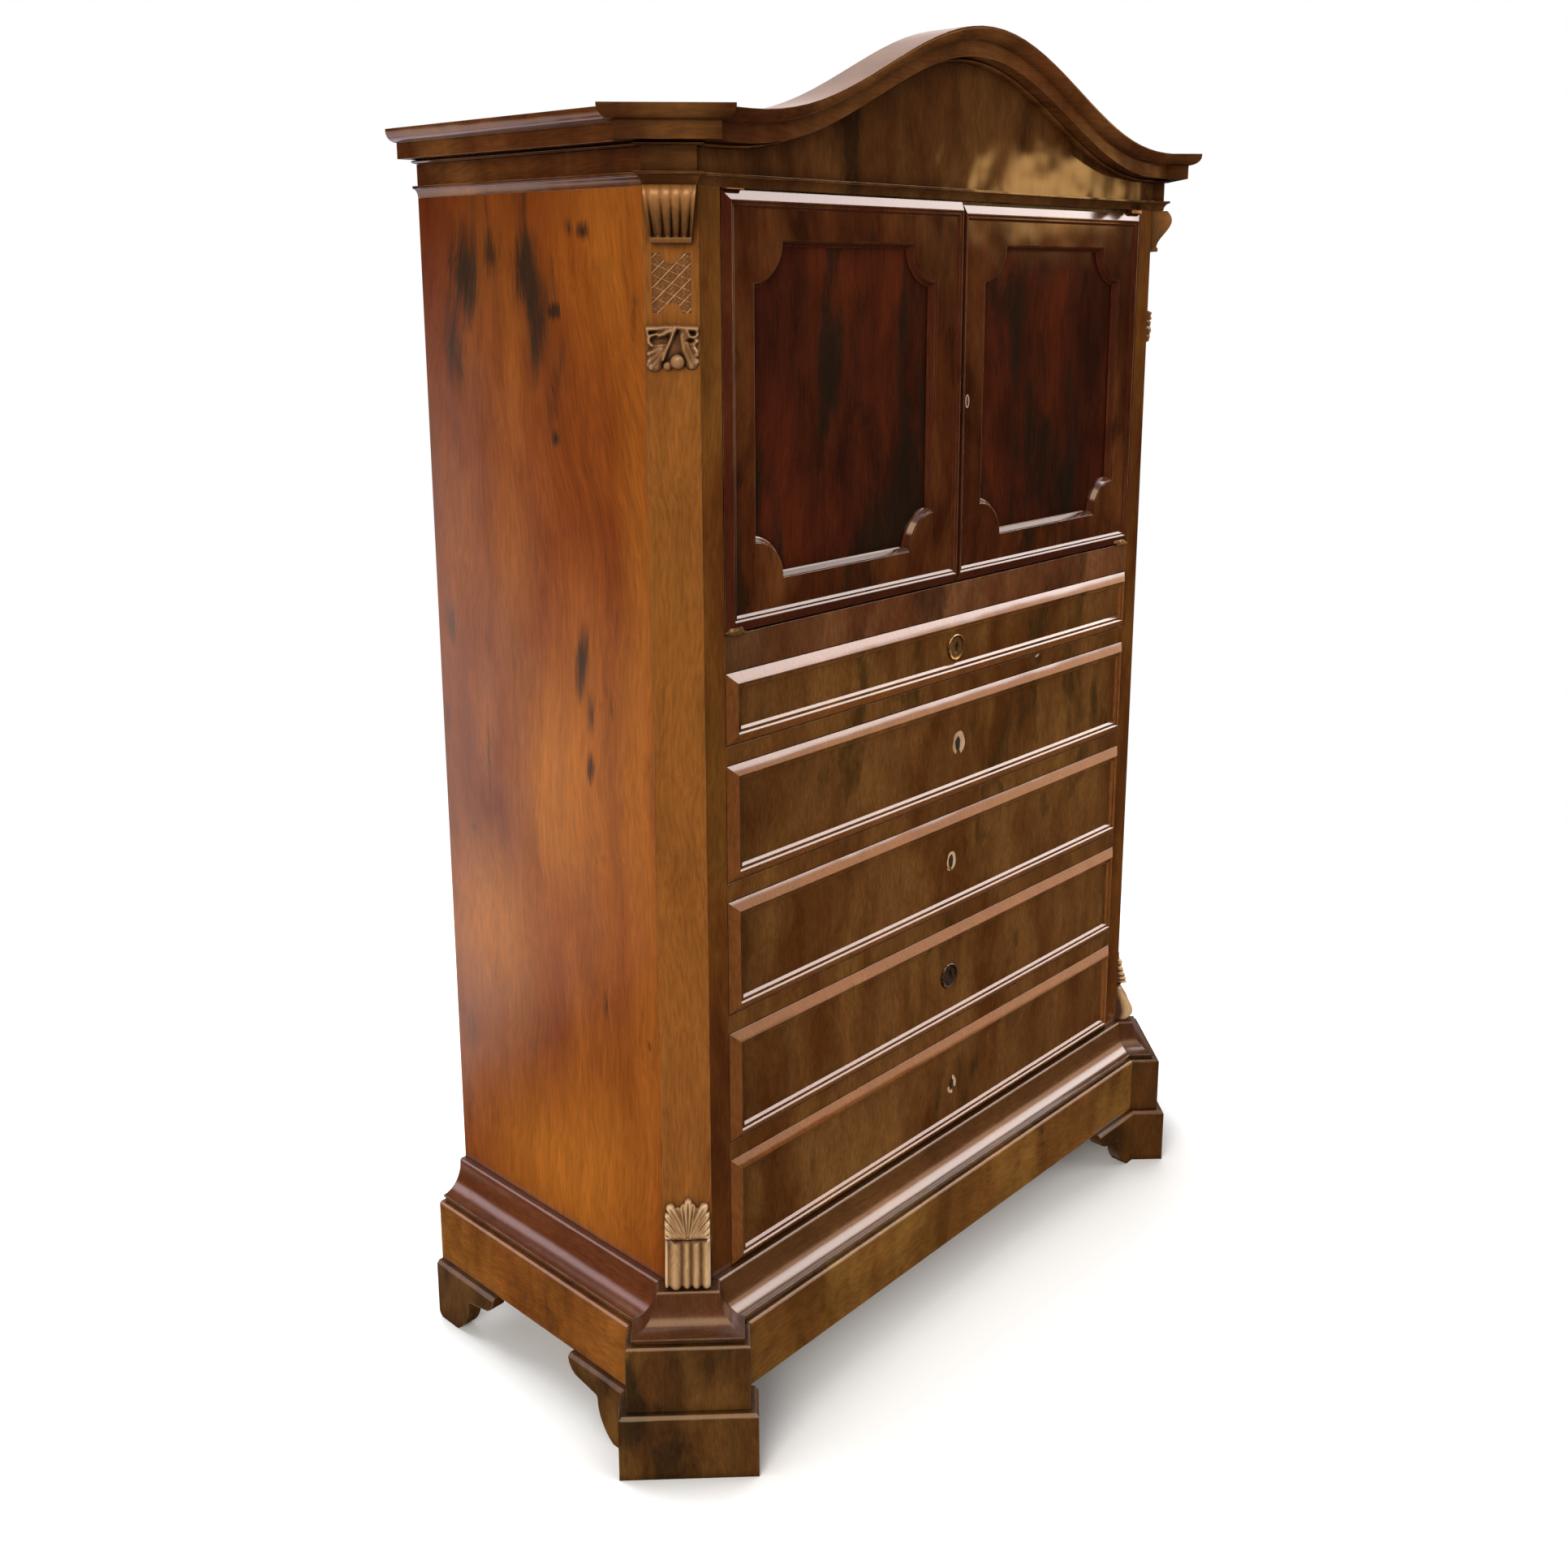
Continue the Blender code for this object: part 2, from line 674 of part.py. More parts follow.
def leaf(name, left):
    """A leaf that bulges along its middle, wider at the top than at its tip."""
    def half_width(v):
        return LEAF_WIDTH / 2 * (0.35 + 0.65 * math.sin(math.pi * (0.08 + 0.62 * v)))

    def depth(v):
        return LEAF_DEPTH * (0.45 + 0.55 * math.sin(math.pi * (0.1 + 0.75 * v)))

    def across(s, v):
        vein = 0.18 * math.exp(-((s / 0.12) ** 2))
        return 1.0 - 0.72 * s * s - vein

    base = CASE_TOP - LEAF_DROP - LEAF_HEIGHT
    return relief(name, left, base, LEAF_HEIGHT, half_width, depth, across, 10, 16)


def foot_scroll(name, left):
    """A shell whose lip hangs over a reeded scroll, standing on the plinth block."""
    height = SCROLL_HEIGHT + SHELL_HEIGHT
    neck = SCROLL_HEIGHT / height
    bulge = 0.2 * neck

    def depth(v):
        if v < bulge:
            return SCROLL_DEPTH * (0.7 + 0.3 * math.sin(math.pi / 2 * v / bulge))
        if v < neck:
            return SCROLL_NECK + (SCROLL_DEPTH - SCROLL_NECK) * (1 - ease((v - bulge) / (neck - bulge)))
        return SHELL_LIP * (1.0 - 0.65 * (v - neck) / (1 - neck))

    def half_width(v):
        fan = max(0.0, (v - neck) / (1 - neck) - 0.4) / 0.6
        return SCROLL_WIDTH / 2 * (0.25 + 0.75 * math.sqrt(max(0.0, 1 - fan * fan)))

    def across(s, v):
        return fluted(s, depth(v)) if v < neck else fluted(s, 2 * depth(v))

    base = CASE_Z + SEAT
    return relief(name, left, base, height, half_width, depth, across, 24)


def build_carving():
    for side in ("left", "right"):
        left = side == "left"
        corbel(f"{side}_corbel", left)
        leaf(f"{side}_leaf_carving", left)
        foot_scroll(f"{side}_foot_scroll", left)


# Doors

def door_edges(left):
    """The door's edges in x, left to right."""
    outer, inner = OPEN_HALF - DOOR_GAP, MEETING_GAP / 2
    return (-outer, -inner) if left else (inner, outer)


def panel_opening(low_x, high_x, low_z, high_z, inset):
    """The outline of a door's opening, its corners hollowed by quarter circles, drawn in by inset."""
    radius = HOLLOW_RADIUS + inset
    start = math.degrees(math.asin(inset / radius))
    outline = []
    for x, z, side, up in (
        (high_x, low_z, 1, -1),
        (high_x, high_z, 1, 1),
        (low_x, high_z, -1, 1),
        (low_x, low_z, -1, -1),
    ):
        hollow = arc((x, z), (-side * radius, -up * radius), start, 90 - start, 10)
        outline += hollow if side == -up else hollow[::-1]
    return outline


def door(side, hinge):
    left = side == "left"
    low_x, high_x = door_edges(left)
    top = DOOR_TOP if left else DOOR_TOP - RIGHT_DOOR_SHORT

    def ring(inset, out):
        """The door's rim drawn in by inset. The chamfer is narrower where the doors meet."""
        at_meeting = max(0.0, inset - DOOR_CHAMFER + MEETING_CHAMFER)
        x0 = low_x + (inset if left else at_meeting)
        x1 = high_x - (at_meeting if left else inset)
        z0, z1 = DOOR_Z + inset, top - inset
        y = FRONT_Y - out
        return [(x0, y, z0), (x1, y, z0), (x1, y, z1), (x0, y, z1)]

    field = DOOR_FIELD
    edge = moulded_edge(DOOR_CHAMFER, DOOR_RIDGE, DOOR_STEP, DOOR_FILLET, DOOR_SLOPE, DOOR_PROUD, field)
    rings = [ring(0.0, -DOOR_THICK), *(ring(inset, out) for inset, out in edge)]
    frame = loft(f"{side}_door_frame", rings, DOOR, parent=hinge)

    opening = (low_x + DOOR_STILE, high_x - DOOR_STILE, DOOR_Z + DOOR_CROSS_RAIL, DOOR_TOP - DOOR_CROSS_RAIL)
    drop = field + PANEL_SUNK
    steps = (
        (0.0, DOOR_PROUD),
        (0.0, field - 0.1 * drop),
        (0.2 * PANEL_MOULDING, field - 0.12 * drop),
        (0.45 * PANEL_MOULDING, field - 0.4 * drop),
        (0.75 * PANEL_MOULDING, field - 0.75 * drop),
        (PANEL_MOULDING, field - 0.85 * drop),
        (PANEL_MOULDING, -2 * DOOR_THICK),
    )
    cutter_rings = []
    for inset, out in steps:
        cutter_rings.append([(x, FRONT_Y - out, z) for x, z in panel_opening(*opening, inset)])
    cut(frame, loft(f"{side}_door_opening", cutter_rings, DOOR, parent=hinge))

    x0, x1 = opening[0] - PANEL_LAP, opening[1] + PANEL_LAP
    z0, z1 = opening[2] - PANEL_LAP, opening[3] + PANEL_LAP
    rebate_y = FRONT_Y + PANEL_SUNK
    rebate_back = FRONT_Y + 2 * DOOR_THICK
    cut(frame, box(f"{side}_door_rebate", (x0, rebate_y, z0), (x1, rebate_back, z1), DOOR, hinge))
    low = (x0 + SEAT, rebate_y + SEAT, z0 + SEAT)
    high = (x1 - SEAT, rebate_y + SEAT + PANEL_THICK, z1 - SEAT)
    box(f"{side}_door_panel", low, high, PANEL, hinge)

    inward = 1.0 if left else -1.0
    plate = arc((0.0, 0.0), (PIVOT_RADIUS, PIVOT_RADIUS), 90, 270, 8)
    plate += [(PIVOT_PLATE, -PIVOT_RADIUS), (PIVOT_PLATE, PIVOT_RADIUS)]
    plate = [(inward * x, y) for x, y in plate]
    for level, low_z, high_z in (
        ("upper", top + SEAT, CASE_TOP - SEAT),
        ("lower", CUPBOARD_Z + SEAT, DOOR_Z - SEAT),
    ):
        middle = Matrix.Translation((hinge.location.x, hinge.location.y, (low_z + high_z) / 2))
        slab(f"{side}_door_{level}_pivot", plate, high_z - low_z, BRASS, middle, hinge)


def build_doors():
    hinges = {}
    for side, sign in (("left", -1), ("right", 1)):
        axis_x = sign * (OPEN_HALF - DOOR_GAP - PIVOT_RADIUS)
        hinges[side] = pivot(f"{side}_door_hinge", (axis_x, FRONT_Y, CUPBOARD_Z))
        door(side, hinges[side])
    middle = (DOOR_Z + DOOR_TOP) / 2
    back = FRONT_Y + DOOR_THICK + SEAT
    edge = MEETING_GAP / 2
    low = (edge, back, middle - LOCK_HEIGHT / 2)
    high = (edge + LOCK_WIDTH, back + LOCK_THICK, middle + LOCK_HEIGHT / 2)
    box("right_door_lock", low, high, BRONZE, hinges["right"])


# Drawers

def drawer(number, low_z, height, slide):
    half = OPEN_HALF - DRAWER_GAP
    z0, z1 = low_z + DRAWER_GAP, low_z + height - DRAWER_GAP

    def ring(inset, out):
        y = FRONT_Y - out
        x = half - inset
        return [(-x, y, z0 + inset), (x, y, z0 + inset), (x, y, z1 - inset), (-x, y, z1 - inset)]

    edge = moulded_edge(
        DRAWER_CHAMFER,
        DRAWER_RIDGE,
        DRAWER_STEP,
        DRAWER_FILLET,
        DRAWER_SLOPE,
        DRAWER_PROUD,
        DRAWER_FIELD,
    )
    rings = [ring(0.0, -DRAWER_FRONT), *(ring(inset, out) for inset, out in edge)]
    loft(f"drawer_{number}_front", rings, FRONT, parent=slide)

    box_half = OPEN_HALF - DRAWER_BOX_GAP
    front_y = FRONT_Y + DRAWER_FRONT + SEAT
    back_y = BACK_Y - BACK_BOARD - DRAWER_BACK_GAP
    base_z, rim_z = low_z + SEAT, low_z + height - DRAWER_HEADROOM
    tray = box(f"drawer_{number}_box", (-box_half, front_y, base_z), (box_half, back_y, rim_z), INSIDE, slide)
    wall = DRAWER_WALL
    low = (-box_half + wall, front_y + wall, base_z + DRAWER_BOTTOM)
    high = (box_half - wall, back_y - wall, rim_z + DRAWER_HEADROOM)
    cut(tray, box(f"drawer_{number}_inside", low, high, INSIDE, slide))


def key_plate(name, z, material, slide):
    """A turned disc with a raised rim, on a drawer's sunk field."""
    radius, thick = KEY_PLATE_RADIUS, KEY_PLATE_THICK
    profile = [
        (0.0, 0.6 * thick),
        (radius - KEY_PLATE_RIM, 0.6 * thick),
        (radius - 0.7 * KEY_PLATE_RIM, thick),
        (radius - 0.3 * KEY_PLATE_RIM, thick),
        (radius, 0.4 * thick),
        (radius, 0.0),
        (0.0, 0.0),
    ]
    mesh = bpy.data.meshes.new(name)
    points = [(x, 0.0, y) for x, y in profile]
    mesh.from_pydata(points, [(k, k + 1) for k in range(len(points) - 1)], [])
    turn = Matrix.Rotation(math.pi / 2, 4, "X")
    turn.translation = (0.0, FRONT_Y - DRAWER_FIELD - SEAT, z)
    plate = place(name, mesh, material, turn, slide)
    screw = plate.modifiers.new("turned", "SCREW")
    screw.axis = "Z"
    screw.steps = 24
    screw.render_steps = 24
    screw.use_merge_vertices = True
    screw.merge_threshold = 0.00001
    return plate


def build_drawers():
    for number in range(1, 6):
        shallow = number == 1
        low_z = SHALLOW_Z - (number - 1) * DRAWER_PITCH
        height = SHALLOW_DRAWER_HEIGHT if shallow else DRAWER_HEIGHT
        slide = pivot(f"drawer_{number}_slide", (0.0, FRONT_Y, low_z + height / 2))
        drawer(number, low_z, height, slide)
        if shallow:
            key_plate("drawer_1_escutcheon", slide.location.z, BRASS, slide)
        elif number == 4:
            key_plate("drawer_4_escutcheon", slide.location.z, BRONZE, slide)


build_case()
build_plinth()
build_cornice()
build_carving()
build_doors()
build_drawers()
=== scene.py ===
# %% [markdown]
# # A chiffonier in walnut and mahogany
#
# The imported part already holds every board, door and drawer as a solid, in metres, with its front towards -Y.
# This lesson gives it what a solid lacks: figured veneer, old polish, cut carving, key plates, and the light
# that shows them. Nothing here moves or bends a solid. A piece that needs a finer surface is built new, rides
# on the same body and stands in for the node.

# %% Load the part
import json
import math
from functools import partial

import bmesh
import bpy
import numpy as np
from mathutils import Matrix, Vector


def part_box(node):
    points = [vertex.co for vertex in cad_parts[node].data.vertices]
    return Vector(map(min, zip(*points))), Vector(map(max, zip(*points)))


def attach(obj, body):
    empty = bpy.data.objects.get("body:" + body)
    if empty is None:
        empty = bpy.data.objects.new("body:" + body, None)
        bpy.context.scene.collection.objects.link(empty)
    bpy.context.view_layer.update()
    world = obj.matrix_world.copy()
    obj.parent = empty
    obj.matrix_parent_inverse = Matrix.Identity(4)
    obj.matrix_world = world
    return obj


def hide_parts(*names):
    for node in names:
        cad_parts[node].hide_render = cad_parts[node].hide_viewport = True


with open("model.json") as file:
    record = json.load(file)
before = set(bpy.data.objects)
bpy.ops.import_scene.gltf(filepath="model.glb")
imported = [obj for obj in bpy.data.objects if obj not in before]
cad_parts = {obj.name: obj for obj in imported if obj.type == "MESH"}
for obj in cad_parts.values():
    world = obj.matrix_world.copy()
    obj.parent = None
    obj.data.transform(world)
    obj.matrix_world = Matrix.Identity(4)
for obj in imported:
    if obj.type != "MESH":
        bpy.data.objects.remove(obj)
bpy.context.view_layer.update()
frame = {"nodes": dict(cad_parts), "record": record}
nodes = frame["nodes"]
bodies = frame["record"]["behaviour"]["bodies"]
body_of_node = {member: body for body, members in bodies.items() for member in members}

# %% [markdown]
# ## Sizes
#
# The carvings sit on the canted corners, so their places come from the solids themselves. A box round a
# corner post gives the case's half width, its front plane, its height and the width of the cant.

# %% Sizes read from the solids
MM = 0.001
post_low, post_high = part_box("left_corner_post")
HALF_WIDTH = -post_low.x
FRONT_Y = post_low.y
CANT = post_high.y - post_low.y
CASE_Z = post_low.z
CASE_TOP = post_high.z
DIAGONAL = math.sqrt(0.5)
print("half width", round(HALF_WIDTH, 4), "front", round(FRONT_Y, 4), "cant", round(CANT, 4))

# %% [markdown]
# ## One function that adds a node
#
# A material is a small graph. Each node is added by one function: its settings are properties of the node,
# and its sockets take either a plain value or another node's output. Colours are written as the sRGB hex
# values that a colour picker shows, and one function turns them into the linear values that shaders work in.
#
# Many sockets go by their number in the node. A Map Range takes its value at 0, the range it comes from at 1
# and 2 and the range it goes to at 3 and 4. A Mix of colours takes its share at 0 and the colours at 6 and 7.

# %% Colours and nodes
def to_linear(colour):
    """Linear RGBA of an sRGB hex colour: each channel's curve is undone, a straight foot and then a power."""
    channels = np.array([int(colour[k : k + 2], 16) for k in (0, 2, 4)]) / 255
    curve = np.where(channels <= 0.04045, channels / 12.92, ((channels + 0.055) / 1.055) ** 2.4)
    return (*curve.tolist(), 1)


# A Map Range with this setting runs level at both ends.
SMOOTH = {"interpolation_type": "SMOOTHSTEP"}


def fill(node, sockets):
    """Fills sockets. A key is a socket's name or number. A value is plain, an output, or a node, which stands
    for its first output in use."""
    for key, value in sockets.items():
        if isinstance(value, bpy.types.Node):
            value = next(output for output in value.outputs if output.enabled)
        if isinstance(value, bpy.types.NodeSocket):
            node.id_data.links.new(value, node.inputs[key])
        else:
            node.inputs[key].default_value = value
    return node


def add_node(tree, kind, sockets, operation=None, **settings):
    """Adds a node with its operation and other settings, and fills its sockets."""
    node = tree.nodes.new("ShaderNode" + kind)
    if operation:
        node.operation = operation
    for key, value in settings.items():
        setattr(node, key, value)
    return fill(node, sockets)


def new_material(name):
    """A material, the function that adds nodes to it, its surface shader and the object's coordinates."""
    material = bpy.data.materials.new(name)
    material.use_nodes = True
    add = partial(add_node, material.node_tree)
    shader = material.node_tree.nodes["Principled BSDF"]
    return material, add, shader, add("TexCoord", {}).outputs["Object"]


print("white is", to_linear("FFFFFF"))

# %% [markdown]
# ## Veneer
#
# Veneer is a sheet of wood about a millimetre thick, glued over the carcass and rubbed with shellac until it
# shines. The eye reads four things in it: broad clouds of darker heartwood, long streaks along the grain,
# fine pores, and a clear gloss over all of them. The first three are noise textures, stretched along the
# grain by a Mapping node, and each scale is one over a real size in metres.
#
# Old edges are rubbed pale, and hollow corners are darkened with painted shade. A Bevel node rounds the
# shading over an edge, so there is an edge where its normal parts from the surface's own, and Ambient
# Occlusion tells hollow corners from proud ones. No old board is quite flat, so the polish sags by a degree or
# less every few centimetres, and mirror images waver.

# %% Soft marks
# Share of the smoke tone at the heart of a mark
DARKEST = 0.94


def blots(add, vector, marks):
    """Sum of soft ellipses on an upright face. A mark is (y, z, half width, half length, tilt, strength), in
    mm and degrees."""
    total = None
    for y, z, half_width, half_length, tilt, strength in marks:
        spot = add("Mapping", {"Vector": vector, "Location": (0, y * MM, z * MM),
                               "Rotation": (math.radians(tilt), 0, 0),
                               "Scale": (100, half_width * MM, half_length * MM)}, vector_type="TEXTURE")
        spot = add("TexGradient", {"Vector": spot}, gradient_type="SPHERICAL")
        spot = add("Math", {0: spot.outputs["Fac"], 1: strength}, "MULTIPLY")
        total = spot if total is None else add("Math", {0: total, 1: spot}, "ADD")
    return total


def torn_marks(add, coords, fleck, ripple, dark_marks):
    """Dark marks whose edges follow the fibres. dark_marks are pairs of marks and how far fibres tear
    them."""
    torn = add("VectorMath", {0: fleck.outputs["Color"], 1: (0.5, 0.5, 0.5)}, "SUBTRACT")
    spots = 0
    for marks, tear in dark_marks:
        place = add("VectorMath", {0: torn, 1: (tear, tear, tear), 2: coords}, "MULTIPLY_ADD")
        spots = add("Math", {0: blots(add, place, marks), 1: spots}, "ADD")
    fibre = add("Math", {0: fleck, 1: 0.5}, "SUBTRACT")
    fibre = add("Math", {0: ripple, 1: 2.4, 2: fibre}, "MULTIPLY_ADD")
    inside = add("MapRange", {0: spots, 2: 0.4, 3: 0.4})
    fibre = add("Math", {0: fibre, 1: inside}, "MULTIPLY")
    spots = add("Math", {0: spots, 1: fibre}, "ADD")
    return add("MapRange", {0: spots, 1: 0.12, 2: 1.2, 4: DARKEST}, **SMOOTH)


print("the heart of a dark mark is", DARKEST, "smoke")

# %% Worn edges
# Size of the patches in which edges are worn
WEAR_PATCH = 45 * MM


def worn_edges(add, face, rubbed, hollow):
    """A normal that is round over the edges, and the share of worn wood on those that stand proud."""
    rounded = add("Bevel", {"Radius": rubbed}, samples=4)
    own = add("NewGeometry", {}).outputs["Normal"]
    rub = add("VectorMath", {0: rounded, 1: own}, "DOT_PRODUCT")
    rub = add("MapRange", {0: rub, 1: 0.985, 2: 0.86, 4: 0.75})
    proud = add("MapRange", {0: hollow, 1: 0.75, 2: 0.95})
    often = add("TexNoise", {"Vector": face, "Scale": 1 / WEAR_PATCH, "Detail": 3})
    often = add("MapRange", {0: often, 1: 0.4, 2: 0.62})
    for share in (proud, often):
        rub = add("Math", {0: rub, 1: share}, "MULTIPLY")
    return rounded, rub


print("edges are worn in patches of", WEAR_PATCH, "m")

# %% Veneer material
EDGE_SHARE = 0.75


def veneer(name, tones, cloud, smoke, streak=26 * MM, length=9, level=False, edge=None, cove=None,
           worn="A9825A", rubbed=0.8 * MM, polish=0.1, coat=0.8, sag=0.8 * MM, corner_shade=0.42, corner=14 * MM,
           dim=None, dark_marks=(), gold_marks=(), crotch=None):
    """Figured veneer. tones are deep, middle, gold and smoke, cloud and streak are sizes, smoke is the share
    of the face that is smoky. length draws the grain out, level lays it along the piece. edge colours strips
    that face aside, cove is a colour and the height it starts at, worn and rubbed are the colour and radius
    of worn edges. polish and coat are the shellac's roughness and weight, sag is how far it is from flat,
    corner_shade is the light that painted shade leaves in hollow corners and corner their reach. dim is a
    painted shade along x: (x where the wood is dimmest, x where that ends, light left). dark_marks go to
    torn_marks and gold_marks to blots. crotch is (y, low z, high z, squeeze), a fork where the grain gathers."""
    deep, middle, gold, dark = map(to_linear, tones.split())
    material, add, shader, coords = new_material(name)
    axes = add("SeparateXYZ", {0: coords})
    face = coords
    if crotch:
        fork, low, high, squeeze = crotch
        narrow = add("MapRange", {0: axes.outputs["Z"], 1: low, 2: high, 3: 1, 4: squeeze}, **SMOOTH)
        aside = add("Math", {0: axes.outputs["Y"], 1: fork}, "SUBTRACT")
        aside = add("Math", {0: aside, 1: narrow}, "DIVIDE")
        face = add("CombineXYZ", {0: axes.outputs["X"], 1: aside, 2: axes.outputs["Z"]})
    sway = add("TexNoise", {"Vector": face, "Scale": 1 / (280 * MM), "Detail": 3})
    sway = add("VectorMath", {0: sway.outputs["Color"], 1: (0.5, 0.5, 0.5)}, "SUBTRACT")
    drift = add("VectorMath", {0: sway, 1: (0.07, 0.07, 0.07), 2: coords}, "MULTIPLY_ADD")
    sway = add("VectorMath", {0: sway, 1: (0.07, 0.07, 0.07), 2: face}, "MULTIPLY_ADD")
    stretch = (1 / length, 1 / length, 1) if level else (1, 1, 1 / length)
    grain = add("Mapping", {"Vector": sway, "Scale": stretch})
    broad = add("Mapping", {"Vector": sway, "Scale": (1, 1, 0.42)})
    bands = add("TexNoise", {"Vector": grain, "Scale": 1 / streak, "Detail": 6, "Roughness": 0.6})
    fleck = add("TexNoise", {"Vector": grain, "Scale": 1 / (3 * MM), "Detail": 3})
    patch = add("TexNoise", {"Vector": broad, "Scale": 1 / cloud, "Detail": 5, "Roughness": 0.58})
    patch = add("SeparateColor", {0: patch.outputs["Color"]})
    ripple = add("Math", {0: bands, 1: 0.5}, "SUBTRACT")
    warm = add("MapRange", {0: patch.outputs["Red"], 1: 0.38, 2: 0.62})
    bright = add("MapRange", {0: patch.outputs["Green"], 1: 0.48, 2: 0.72, 4: 0.85})
    smoky = add("Math", {0: ripple, 1: 0.35, 2: patch.outputs["Blue"]}, "MULTIPLY_ADD")
    smoky = add("MapRange", {0: smoky, 1: 0.66 - smoke, 2: 0.8 - smoke, 4: 0.85}, **SMOOTH)
    if gold_marks:
        bright = add("Math", {0: bright, 1: blots(add, drift, gold_marks)}, "MAXIMUM")
    if dark_marks:
        spots = torn_marks(add, coords, fleck, ripple, dark_marks)
        smoky = add("Math", {0: smoky, 1: spots}, "MAXIMUM")
    layers = [(warm, middle), (bright, gold), (smoky, dark)]
    if cove:
        colour, height = cove
        border = add("MapRange", {0: axes.outputs["Z"], 1: height, 2: height + MM, 4: EDGE_SHARE})
        layers.append((border, to_linear(colour)))
    if edge:
        turned = add("SeparateXYZ", {0: add("NewGeometry", {}).outputs["True Normal"]})
        turned = add("Math", {0: turned.outputs["Y"]}, "ABSOLUTE")
        border = add("MapRange", {0: turned, 1: 0.985, 2: 0.93, 4: EDGE_SHARE})
        layers.append((border, to_linear(edge)))
    wood = deep
    for share, tone in layers:
        wood = add("Mix", {0: share, 6: wood, 7: tone}, data_type="RGBA")
    lines = add("MapRange", {0: bands, 1: 0.3, 2: 0.7, 3: 0.8, 4: 1.14})
    pores = add("MapRange", {0: fleck, 1: 0.34, 2: 0.66, 3: 0.8, 4: 1.1})
    # Ambient Occlusion darkens hollow corners, and with a long reach the face under an overhang: painted shade.
    hollow = add("AmbientOcclusion", {"Distance": corner}, samples=4).outputs["AO"]
    shades = [pores, add("MapRange", {0: hollow, 1: 0.3, 2: 0.97, 3: corner_shade})]
    # Darker towards one end along x: painted shade.
    if dim:
        dimmest, end, light = dim
        shades.append(add("MapRange", {0: axes.outputs["X"], 1: dimmest, 2: end, 3: light}))
    for shade in shades:
        lines = add("Math", {0: lines, 1: shade}, "MULTIPLY")
    wood = add("Mix", {0: 1, 6: wood, 7: lines}, data_type="RGBA", blend_type="MULTIPLY")
    rounded, rub = worn_edges(add, face, rubbed, hollow)
    wood = add("Mix", {0: rub, 6: wood, 7: to_linear(worn)}, data_type="RGBA")
    haze = add("MapRange", {0: patch.outputs["Red"], 1: 0.3, 2: 0.7, 3: 0.36, 4: 0.48})
    relief = add("Bump", {"Height": fleck, "Strength": 0.05, "Distance": 0.3 * MM, "Normal": rounded})
    waves = add("TexNoise", {"Vector": coords, "Scale": 1 / (70 * MM), "Detail": 1})
    waves = add("Bump", {"Height": waves, "Strength": 1, "Distance": sag, "Normal": rounded})
    fill(shader, {"Base Color": wood, "Roughness": haze, "Normal": relief, "Coat Normal": waves,
                  "Specular IOR Level": 0, "Coat Weight": coat, "Coat Roughness": polish})
    return material


print("edge strips take", EDGE_SHARE, "of their own colour")

# %% [markdown]
# ## The woods of this piece
#
# The sides are the warmest boards, orange with a smoky flame near the top, a few knots and two fine cracks.
# The places of the flame and the knots are marks, each with its size. Fibres tear the flame's edge far more
# than the rim of a knot. The front is cooler and browner, its wide rail redder, the door panels are the
# darkest, a mahogany with red and black ribbons, and the base is a dusty olive brown.

# %% Veneers
SIDE_FLAMES = (
    (50, 1545, 320, 70, 0, 0.4), (125, 1470, 130, 90, 0, 0.35), (195, 1420, 80, 170, -5, 0.3),
    (45, 1410, 90, 180, 14, 0.35), (184, 1444, 40, 78, -6, 0.95), (214, 1352, 27, 88, -6, 0.9),
    (66, 1446, 36, 62, 8, 0.95), (42, 1388, 36, 92, 14, 0.95), (14, 1318, 22, 92, 14, 0.9),
    (128, 1469, 26, 36, 0, 0.75), (122, 1400, 10, 90, 0, 0.6),
)
SIDE_KNOTS = (
    (-41, 1492, 15, 15, 30, 1.05), (-17, 1495, 10, 18, -20, 0.8), (18, 1257, 12, 13, 0, 1.1),
    (14, 1403, 14, 13, 0, 1.2), (215, 1256, 11, 12, 0, 0.75), (-123, 1400, 6, 55, 0, 0.8),
    (-18, 994, 17, 64, 8, 1.25), (-31, 935, 12, 42, 4, 1.05), (252, 1004, 22, 50, -6, 1),
    (268, 872, 18, 44, 0, 0.95), (-82, 1051, 7, 36, 8, 0.85), (-68, 945, 7, 32, 0, 0.9),
    (118, 910, 3.4, 240, 0, 0.95), (178, 810, 3.4, 110, 2, 0.8), (-27, 863, 10, 30, 4, 1.05),
    (216, 729, 15, 14, 0, 0.85), (-43, 558, 6, 42, 0, 0.9), (-122, 534, 9, 12, 0, 0.75),
)
GOLD_MARKS = (
    (-125, 950, 50, 800, 0, 0.9), (80, 300, 220, 200, 0, 1.1), (-60, 400, 130, 300, 0, 0.6),
    (-20, 850, 120, 300, 0, 0.9), (120, 1100, 60, 240, 0, 0.6), (180, 600, 140, 170, 0, 1.2),
    (60, 820, 90, 200, 0, 0.9),
)
DRAWER_TONES = "502C10 684320 785228 38260F"
COVE_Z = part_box("plinth_front")[1].z - 48 * MM
base = {"length": 5, "level": True, "worn": "988064", "rubbed": 2 * MM, "coat": 1}
